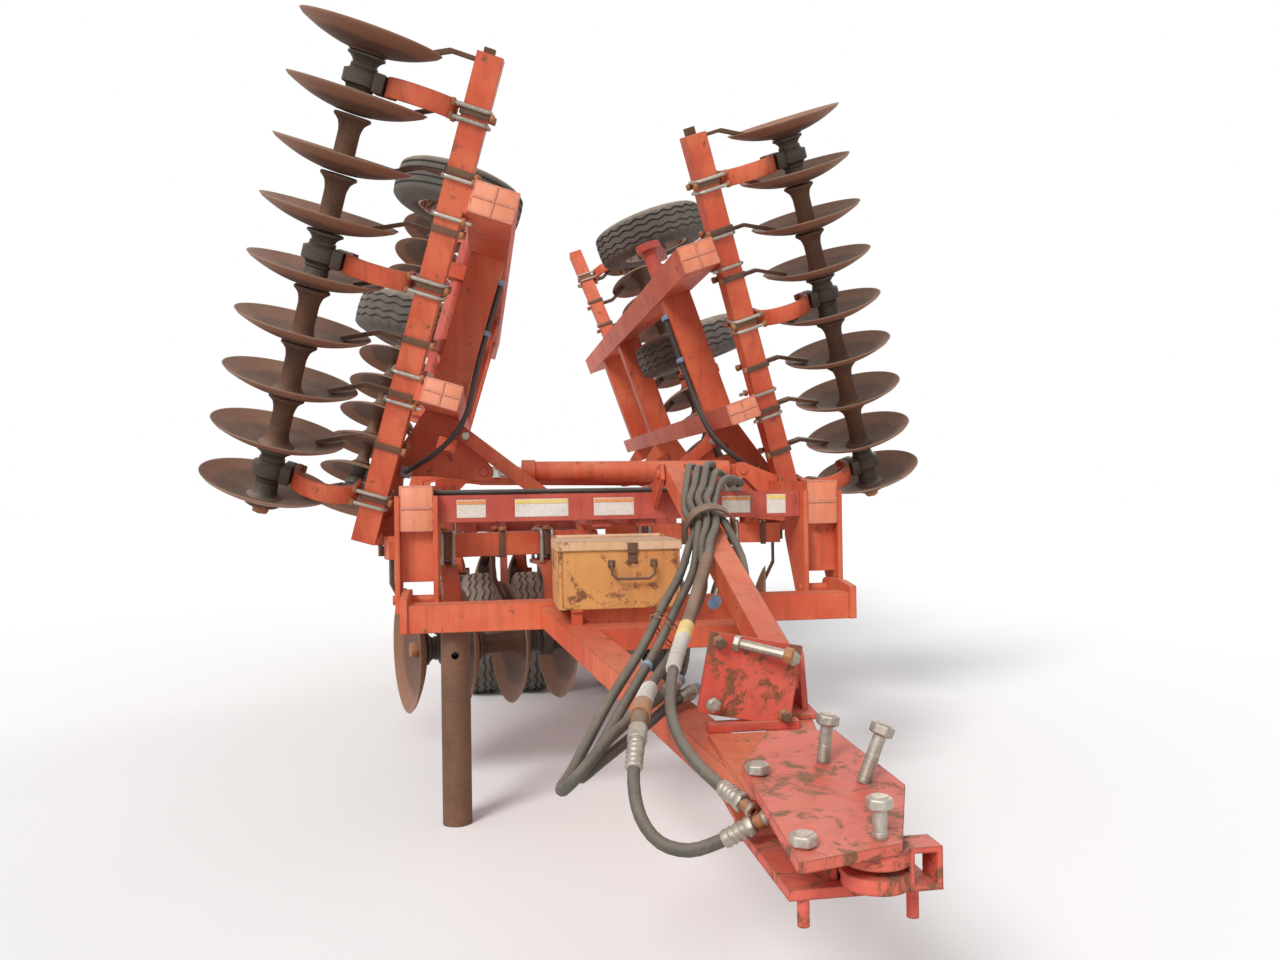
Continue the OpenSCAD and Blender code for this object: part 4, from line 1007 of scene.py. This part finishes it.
# %% [markdown]
# ## Labels, clamps and bolts of the frame
# The front cross tube carries five labels, left blank here, each with a coloured band where
# the real one has it. Gang bars are clamped to the frame by U-bolts and square straps.

# %% Blank labels
CROSS_FRONT, CROSS_Z = FRONT_Y + 0.040, 1.185
LABELS = (
    (-0.615, 0.115, 0.072, "label_orange"), (-0.335, 0.215, 0.072, "label_yellow"),
    (-0.042, 0.165, 0.072, "label_orange"), (0.470, 0.120, 0.070, "label_orange"),
    (0.642, 0.082, 0.080, "label_yellow"))
bm = bmesh.new()
for x, wide, high, band in LABELS:
    join(bm, block(span(x, wide / 2), (CROSS_FRONT - 0.0012, CROSS_FRONT + 0.0004),
                   span(CROSS_Z, high / 2), 0.0004, 1))
    join(bm, block(span(x, wide / 2 - 0.003), (CROSS_FRONT - 0.0018, CROSS_FRONT),
                   (CROSS_Z + high * 0.24, CROSS_Z + high / 2 - 0.003), 0.0004, 1),
         number=1 if band == "label_orange" else 2)
as_piece(bm, "blank_labels", "centre_frame", ("label_white", "label_orange", "label_yellow"))
print("labels:", len(LABELS))

# %% Clamps of the gang bars
CLAMP_FINISHES = ("zinc_plate", "nut_rust", "rusty_steel")
STRAP_AT = {FRONT: 0.62, REAR: 0.40}
CENTRE_STRAPS = (-3.4, -2.5, -1.4, -0.7)


def add_strap(bm, x, place):
    """A thin square strap around the gang bar, with a nut on each side of its open top."""
    h, thick = BAR_W / 2, 0.008
    low, high = BAR_RISE - h - thick, BAR_RISE + h + 0.010
    wide = span(x, 0.014)
    for s in BOTH:
        join(bm, block(wide, sorted((s * h, s * (h + thick))), (low, high), 0.002), place, 2)
    join(bm, block(wide, span(0, h + thick), (low, low + thick), 0.002), place, 2)
    for s in BOTH:
        stamp(bm, small_nut, place @ move(x, s * (h + 0.006), high), 1)


for side, word in SIDE_NAME.items():
    bm = bmesh.new()
    for row in ROWS:
        place = gang_at(side, row, True)
        for u, w in ((INNER_U, 0.062), (OUTER_U, 0.075)):
            x = (u - FIRST_U) / math.cos(math.radians(GANG_TURN))
            for s in BOTH:
                add_u_bolt(bm, place, x + s * w, BAR_RISE + BAR_W / 2 + 0.004, 0, turn(180, "X"))
        for i in range(WING_DISCS[row] - 1):
            add_strap(bm, (i + STRAP_AT[row]) * PITCH, place)
    as_piece(bm, "wing_clamps_" + word, "wing_" + word, CLAMP_FINISHES)
bm = bmesh.new()
for side in SIDES:
    for row in ROWS:
        for x in CENTRE_STRAPS:
            add_strap(bm, x * PITCH, gang_at(side, row, False))
as_piece(bm, "centre_clamps", "centre_frame", CLAMP_FINISHES)
print("clamps are on")

# %% [markdown]
# ## What is on the hoses
# Each hose ends in a crimped collar, a hexagon and a plug. Along the way there are tape, a
# rusted steel sleeve, a stack of adapters and a cap on its tether, and the bundle has a wire
# tie and a clip. Most are sleeves turned on a line and set along the hose by its own heading.

# %% Helpers along a hose
HOSE_FINISHES = ("zinc_plate", "nut_rust", "tape_white", "rusty_steel", "label_yellow", "cap_blue")
ZINC, NUT, TAPE, RUSTY, YELLOW, BLUE = range(len(HOSE_FINISHES))
COLLAR_GROOVES = (-0.046, -0.034, -0.022, -0.010)


def facing(point, way):
    """Place of a sleeve whose X runs along a direction."""
    return Matrix.Translation(point) @ way.to_track_quat("X", "Z").to_matrix().to_4x4()


def sleeve(length, radius, soft=0.0015):
    return turned([(0, radius * 0.5), (0, radius - soft), (soft, radius), (length - soft, radius),
                   (length, radius - soft), (length, radius * 0.5)], 20)


def hexed(length, across):
    bm = hexagon(across, length)
    bm.transform(turn(90, "Y"))
    return bm


def facing_y(point, way):
    """Place of a flat bar that lies across Y, with its X along a direction."""
    x = way.normalized()
    y = Vector((0, 1, 0))
    return Matrix.Translation(point) @ Matrix((x, y, x.cross(y))).transposed().to_4x4()


def bolt_along_y(long):
    """A hexagon head with a shank along Y, its head at the origin."""
    bm = bmesh.new()
    join(bm, hexagon(0.034, 0.014), turn(90, "X"))
    join(bm, turned(tube(0, long, 0.002, 0.012), 20), turn(90, "Z"))
    return bm


def hose_end(name, long, capped):
    """Collar, hexagon and plug at a hose's free end, as one piece."""
    line = hoses[name][1]
    way = (line[-1] - line[-2]).normalized()
    at = facing(line[-1], way)
    bm = bmesh.new()
    join(bm, sleeve(0.052, HOSE_R + 0.0035), at @ move(-0.052, 0, 0), ZINC)
    for x in COLLAR_GROOVES:
        join(bm, sleeve(0.005, HOSE_R + 0.0050), at @ move(x, 0, 0), ZINC)
    join(bm, hexed(0.018, 0.036), at, ZINC)
    join(bm, sleeve(long - 0.018, 0.013), at @ move(0.018, 0, 0), NUT)
    join(bm, sleeve(0.010, 0.0155), at @ move(long - 0.012, 0, 0), BLUE if capped else ZINC)
    if capped:
        join(bm, sleeve(0.026, 0.0160, 0.003), at @ move(long - 0.024, 0, 0), BLUE)
    return as_piece(bm, name + "_coupler", "level_link", HOSE_FINISHES, "zinc_plate")


def sleeves_between(bm, line, first, last, radius, number, rings=0):
    """Turned sleeves that follow a hose from one of its points to another."""
    for i in range(first, last):
        way = line[i + 1] - line[i]
        join(bm, sleeve(way.length + 0.002, radius), facing(line[i], way.normalized()), number)
        for ring in range(rings):
            at = line[i] + way * ((ring + 0.5) / rings)
            join(bm, sleeve(0.005, radius + 0.002), facing(at, way.normalized()), number)


# %% Ends and fittings
ENDS = {"hose_left": 0.045, "hose_middle": 0.045, "hose_loop": 0.050, "hose_taped": 0.050,
        "hose_right": 0.060}
ends = {name: hose_end(name, long, name in ("hose_left", "hose_middle"))
        for name, long in ENDS.items()}
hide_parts("hose_couplers")


def fittings(name, hose, runs):
    """One piece of sleeves on a hose. A run has two points, extra radius, finish and rings."""
    bm = bmesh.new()
    for first, last, extra, number, rings in runs:
        sleeves_between(bm, hoses[hose][1], first, last, HOSE_R + extra, number, rings)
    return as_piece(bm, name, "level_link", HOSE_FINISHES, "zinc_plate")


taped = fittings("hose_tape", "hose_taped", (
    (30, 34, 0.006, RUSTY, 0), (34, 35, 0.008, YELLOW, 0), (35, 38, 0.005, TAPE, 2)))

bm = bmesh.new()
ball_at = Vector((0.186, -1.965, 0.874))
ball = Matrix.Translation(ball_at) @ turn(-62, "Z") @ turn(20, "Y")
join(bm, turned([(-0.008, 0.001), (-0.008, 0.020), (-0.004, 0.024), (0.010, 0.024), (0.016, 0.018),
                 (0.018, 0.010), (0.026, 0.008), (0.028, 0.001)], 24), ball, 1)
start = hoses["hose_taped"][1][30] + Vector((-0.008, -0.020, 0))
tether = [start, start + Vector((0.008, -0.016, -0.010))]
tether += [ball_at + Vector(step) for step in ((0.004, -0.028, 0.100), (0.010, -0.014, 0.050),
                                               (0.002, -0.004, 0.018))]
join(bm, rod(tether, 0.004, 8))
as_piece(bm, "coupler_cap", "level_link", ("tape_white", "cap_blue"), "zinc_plate")


# %% Wire tie and clip of the hanging bundle
def first_below(run, height):
    return next(i for i in range(len(run) // 4, len(run)) if run[i].z < height)


runs = [hoses[name][1] for name in ("hose_left", "hose_middle", "hose_loop")]
bm = bmesh.new()
for height in (0.872, 0.862, 0.853):
    low = [first_below(run, height) for run in runs]
    headings = [(run[i + 1] - run[i - 1]).normalized() for run, i in zip(runs, low)]
    way = sum(headings, Vector()).normalized()
    centre = sum((run[i] for run, i in zip(runs, low)), Vector()) / len(runs)
    spots = [run[i] - centre for run, i in zip(runs, low)]
    spots = [spot - spot.dot(way) * way for spot in spots]
    side_way = max(spots, key=lambda spot: spot.length).normalized()
    axes = []
    for axis in (side_way, way.cross(side_way)):
        axes.append(axis * (max(abs(spot.dot(axis)) for spot in spots) + HOSE_R + 0.003))
    angles = [2 * math.pi * i / 32 for i in range(33)]
    join(bm, rod([centre + axes[0] * math.cos(a) + axes[1] * math.sin(a) for a in angles],
                 0.0022, 8))
run, i = runs[1], low[1] + 2
join(bm, sleeve(0.016, HOSE_R + 0.003), facing(run[i], (run[i + 1] - run[i]).normalized()), 1)
as_piece(bm, "bundle_ties", "level_link", ("nut_rust", "cap_blue"), "rusty_steel")

adapters = fittings("hose_adapters", "hose_loop", (
    (40, 42, 0.006, TAPE, 3), (42, 43, 0.010, NUT, 0), (43, 44, 0.006, RUSTY, 0),
    (44, 45, 0.008, ZINC, 0), (45, 47, 0.004, ZINC, 3)))
print("fittings on", len(ends), "hoses")

# %% [markdown]
# ## Lift cylinders and locks of the wings
# Each wing's wheels are let down by a cylinder between the first cross tube and the lift shaft,
# with a yellow stop bar beside its rod. A flat red bar locks the folded wing to the frame. The
# cylinder is turned from its outline, and the flat bars are blocks with soft edges.

# %% Lift cylinders
CYLINDER_FINISHES = ("faded_red_paint", "rod_chrome", "stop_yellow", "zinc_plate")
LIFT_U, LIFT_Y, LIFT_B = 0.900, 0.675, 0.030


def lift_cylinder():
    """A cylinder along Y with its eyes, rod and stop bar, from its base eye at the origin."""
    bm = bmesh.new()
    barrel = turned([(0.05, 0.010), (0.05, 0.042), (0.06, 0.044), (0.40, 0.044), (0.405, 0.050),
                     (0.450, 0.050), (0.455, 0.040), (0.455, 0.022)], 32)
    join(bm, barrel, turn(90, "Z"))
    join(bm, turned(tube(0.44, 0.66, 0.003, 0.019), 24), turn(90, "Z"), 1)
    for y in (0.0, 0.69):
        join(bm, turned(tube(-0.022, 0.022, 0.019, 0.036), 24), move(0, y, 0), 3)
    join(bm, block(span(0, 0.020), (0.025, 0.055), span(0, 0.022)))
    join(bm, block(span(0, 0.018), (0.650, 0.672), span(0, 0.020)), number=1)
    join(bm, block((0.052, 0.064), (0.30, 0.72), span(0, 0.030), 0.003), number=2)
    for y in (0.34, 0.68):
        join(bm, block((0.040, 0.066), span(y, 0.012), span(0, 0.034), 0.003), number=2)
    return bm


for side, word in SIDE_NAME.items():
    bm = bmesh.new()
    join(bm, lift_cylinder(), wing_at(side) @ move(LIFT_U, LIFT_Y, LIFT_B))
    piece = as_piece(bm, "lift_cylinder_" + word, "wing_" + word, CYLINDER_FINISHES)
    print(piece.name, len(piece.data.polygons), "faces")

# %% Fold locks
LOCK_Y = 0.516
for side, word in SIDE_NAME.items():
    bm = bmesh.new()
    y = half_y(side) + LOCK_Y
    top, low = Vector((0.640, y, 1.500)), Vector((0.290, y, 1.228))
    length = (low - top).length
    place = mirror(side) @ facing_y(top, low - top)
    join(bm, block((-0.030, length + 0.030), span(0, 0.008), span(0, 0.032)), place)
    for x in (0.0, length):
        join(bm, bolt_along_y(0.040), place @ move(x, -0.020, 0), 1)
    join(bm, block((0.052, 0.330), (y + 0.010, y + 0.026), (1.215, 1.262)), mirror(side))
    as_piece(bm, "fold_lock_" + word, "centre_frame", ("faded_red_paint", "zinc_plate"))
print("fold locks are on")

# %% [markdown]
# ## Hoses of the wings and the front tube
# Two thinner black hoses climb each wing and lie on its first cross tube, held by clips. Two
# more lie on the front tube. They start and end in the machine.

# %% Wing hoses
THIN_HOSE_R, THIN_HOSE_GAP = 0.011, 0.026


def add_thin_hose(name, line, body):
    piece = add_hose(name, line, THIN_HOSE_R, body, "black_rubber")


WING_HOSE_STOPS = ((0.300, 0.553, 0.030), (0.302, 0.515, 0.034), (0.318, 0.470, 0.050),
                   (0.352, 0.432, 0.085), (0.410, 0.412, 0.135), (0.485, 0.413, 0.180),
                   (0.565, 0.438, 0.208), (0.650, 0.482, 0.216), (0.740, 0.530, 0.211),
                   (0.830, 0.565, 0.203), (0.920, 0.584, 0.200), (1.020, 0.588, 0.200),
                   (1.110, 0.588, 0.200), (1.180, 0.588, 0.200), (1.250, 0.588, 0.200))
climb = smooth_line([Vector(stop) for stop in WING_HOSE_STOPS], 3)
for side, word in SIDE_NAME.items():
    for number in (0, 1):
        offset = Vector((0.0, number * THIN_HOSE_GAP, 0.0))
        line = [wing_at(side) @ (point + offset) for point in climb[number * 2:]]
        add_thin_hose(f"wing_hose_{number}_{word}", line, "wing_" + word)
    bm = bmesh.new()
    for u in (1.0, 1.24):
        join(bm, block(span(u, 0.012), (0.568, 0.634), (0.187, 0.2145), 0.003), wing_at(side))
    join(bm, block((0.275, 0.325), (0.536, 0.556), (0.005, 0.055), 0.003), wing_at(side), 1)
    as_piece(bm, "wing_hose_clips_" + word, "wing_" + word, ("cap_blue", "zinc_plate"))

# %% Hoses on the front tube
TUBE_TOP = 1.239
low = TUBE_TOP + THIN_HOSE_R + 0.001
for number, lie in ((0, -1.098), (1, -1.074)):
    stops = ((0.300, lie, 1.262), (0.270, lie, 1.257), (0.200, lie, low),
             (0.050, lie + 0.004, low), (-0.150, lie - 0.006, low), (-0.350, lie + 0.006, low),
             (-0.560, lie - 0.004, low), (-0.700, lie, low), (-0.764, lie, low))
    line = smooth_line([Vector(stop) for stop in stops], 4)
    add_thin_hose(f"frame_hose_{number}", line, "centre_frame")

# %% [markdown]
# ## Bolts of the hitch and the tongue
# Big zinc-plated bolts clamp the hitch to the tongue, and stand above the sloping plate at
# different heights, one of them leaning. A bolt is a turned shank with a hexagon head. The
# kite-shaped plate has four bolts of its own near its corners. Edges over 25 degrees stay crisp.

# %% Hitch and kite bolts
COVER_Y, COVER_Z, TONGUE_SLOPE = -2.210, 0.697, 6.5
TONGUE_X = 0.070
BOLT_FINISHES = ("zinc_plate", "rusty_steel", "nut_rust")


def bolt(long, radius, across, head, thread=0.0):
    """A bolt that stands on the XY plane with its head up, and thread near its foot."""
    bm = bmesh.new()
    upright = turn(-90, "Y")
    join(bm, turned(tube(0, long - head, 0.002, radius), 20, False), upright, 1)
    join(bm, hexagon(across, head, 0.002), move(0, 0, long - head))
    crown = [(0, 0.0005), (0, across * 0.40), (0.0025, across * 0.36), (0.003, 0.0005)]
    join(bm, turned(crown, 20, False), move(0, 0, long) @ upright)
    for i in range(int(thread / 0.004)):
        ring = turned([(-0.0016, radius), (0, radius + 0.0016), (0.0016, radius)], 16, False)
        join(bm, ring, move(0, 0, 0.006 + i * 0.004) @ upright, 1)
    return bm


def cover_z(y):
    return COVER_Z + (y - COVER_Y) * math.tan(math.radians(TONGUE_SLOPE))


COVER_BOLTS = ((0.012, -2.120, 0.094, 8), (0.054, -2.226, 0.114, 22), (-0.005, -2.450, 0.068, 0),
               (-0.139, -2.458, 0.020, 0), (-0.131, -2.158, 0.020, 0))
bm = bmesh.new()
for x, y, stand, lean in COVER_BOLTS:
    place = move(TONGUE_X + x, FRONT_Y + y, cover_z(y) - 0.001) @ turn(lean, "Y")
    join(bm, bolt(stand + 0.001, 0.0125, 0.0415, 0.019, max(stand - 0.06, 0)), place)
as_piece(bm, "hitch_bolts", "tongue", BOLT_FINISHES, "zinc_plate", smooth=25)

KITE_Y, KITE_Z, KITE_TURN = -1.620, 0.782, 11
kite_at = move(TONGUE_X, FRONT_Y + KITE_Y, KITE_Z) @ turn(KITE_TURN, "Y") @ turn(90, "X")
bm = bmesh.new()
for x, y in ((-0.088, -0.072), (0.090, 0.070)):
    join(bm, bolt(0.030, 0.010, 0.034, 0.016), kite_at @ move(x, y, 0.008))
for x, y in ((-0.096, 0.078), (0.098, -0.074)):
    join(bm, hexagon(0.030, 0.020), kite_at @ move(x, y, 0.008), 2)
    join(bm, hexagon(0.024, 0.034), kite_at @ move(x, y, 0.008), 1)
as_piece(bm, "kite_bolts", "tongue", BOLT_FINISHES, "zinc_plate", smooth=25)


def beside_kite(x, y, z):
    """A point beside the kite plate's middle, at a height over the floor."""
    return Vector((TONGUE_X + x, FRONT_Y + KITE_Y + y, z))


way = Vector((0.115, -0.063, -0.026)).normalized()
bm = bmesh.new()
join(bm, rod([beside_kite(-0.03, -0.012, 0.872), beside_kite(0.085, -0.075, 0.846)], 0.0125, 12))
join(bm, hexed(0.020, 0.036), facing(beside_kite(0.070, -0.067, 0.8495), way), 2)
join(bm, hexed(0.016, 0.036), facing(beside_kite(-0.040, -0.0065, 0.874), way))
as_piece(bm, "kite_pin", "tongue", BOLT_FINISHES, "zinc_plate", smooth=25)
print("hitch and kite bolts:", len(COVER_BOLTS) + 4)

# %% [markdown]
# ## Toolbox handle and hasp
# The box has a bent rod for a handle, held by two ears, beads down its front corners, and a
# hasp whose upper half rides on the lid.

# %% Toolbox trim
box_low, box_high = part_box("toolbox")
lid_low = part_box("toolbox_lid")[0]
front = box_low.y
handle_x, handle_z = (box_low.x + box_high.x) / 2 + 0.045, box_low.z + 0.112
HANDLE_W = 0.075
bent_end = ((HANDLE_W, -0.002, 0.045), (HANDLE_W, -0.020, 0.040), (HANDLE_W, -0.026, 0.010),
            (HANDLE_W - 0.020, -0.028, -0.006))
grip = [(-x, y, z) for x, y, z in bent_end] + list(bent_end[::-1])
bm = bmesh.new()
join(bm, rod([Vector((handle_x + x, front + y, handle_z + z)) for x, y, z in grip], 0.0055, 8))
for s in BOTH:
    join(bm, block(span(handle_x + s * HANDLE_W, 0.012), (front - 0.006, front + 0.001),
                   (handle_z + 0.032, handle_z + 0.058), 0.002))
join(bm, block(span(handle_x, 0.016), (front - 0.005, front + 0.001),
               (box_high.z - 0.085, box_high.z - 0.028), 0.0015))
for x in (box_low.x + 0.012, box_high.x - 0.012):
    ends = [Vector((x, front - 0.0005, z)) for z in (box_low.z + 0.01, box_high.z - 0.03)]
    join(bm, bead(ends, 0.003, 0.0006), number=1)
as_piece(bm, "toolbox_handle", "tongue", ("rusty_steel", "toolbox_paint"))
bm = bmesh.new()
join(bm, block(span(handle_x, 0.018), (lid_low.y - 0.004, lid_low.y + 0.001),
               (lid_low.z - 0.012, lid_low.z + 0.026), 0.0015))
as_piece(bm, "toolbox_hasp", "toolbox_lid", ("rusty_steel",))
print("toolbox:", [round(c, 3) for c in box_high - box_low])
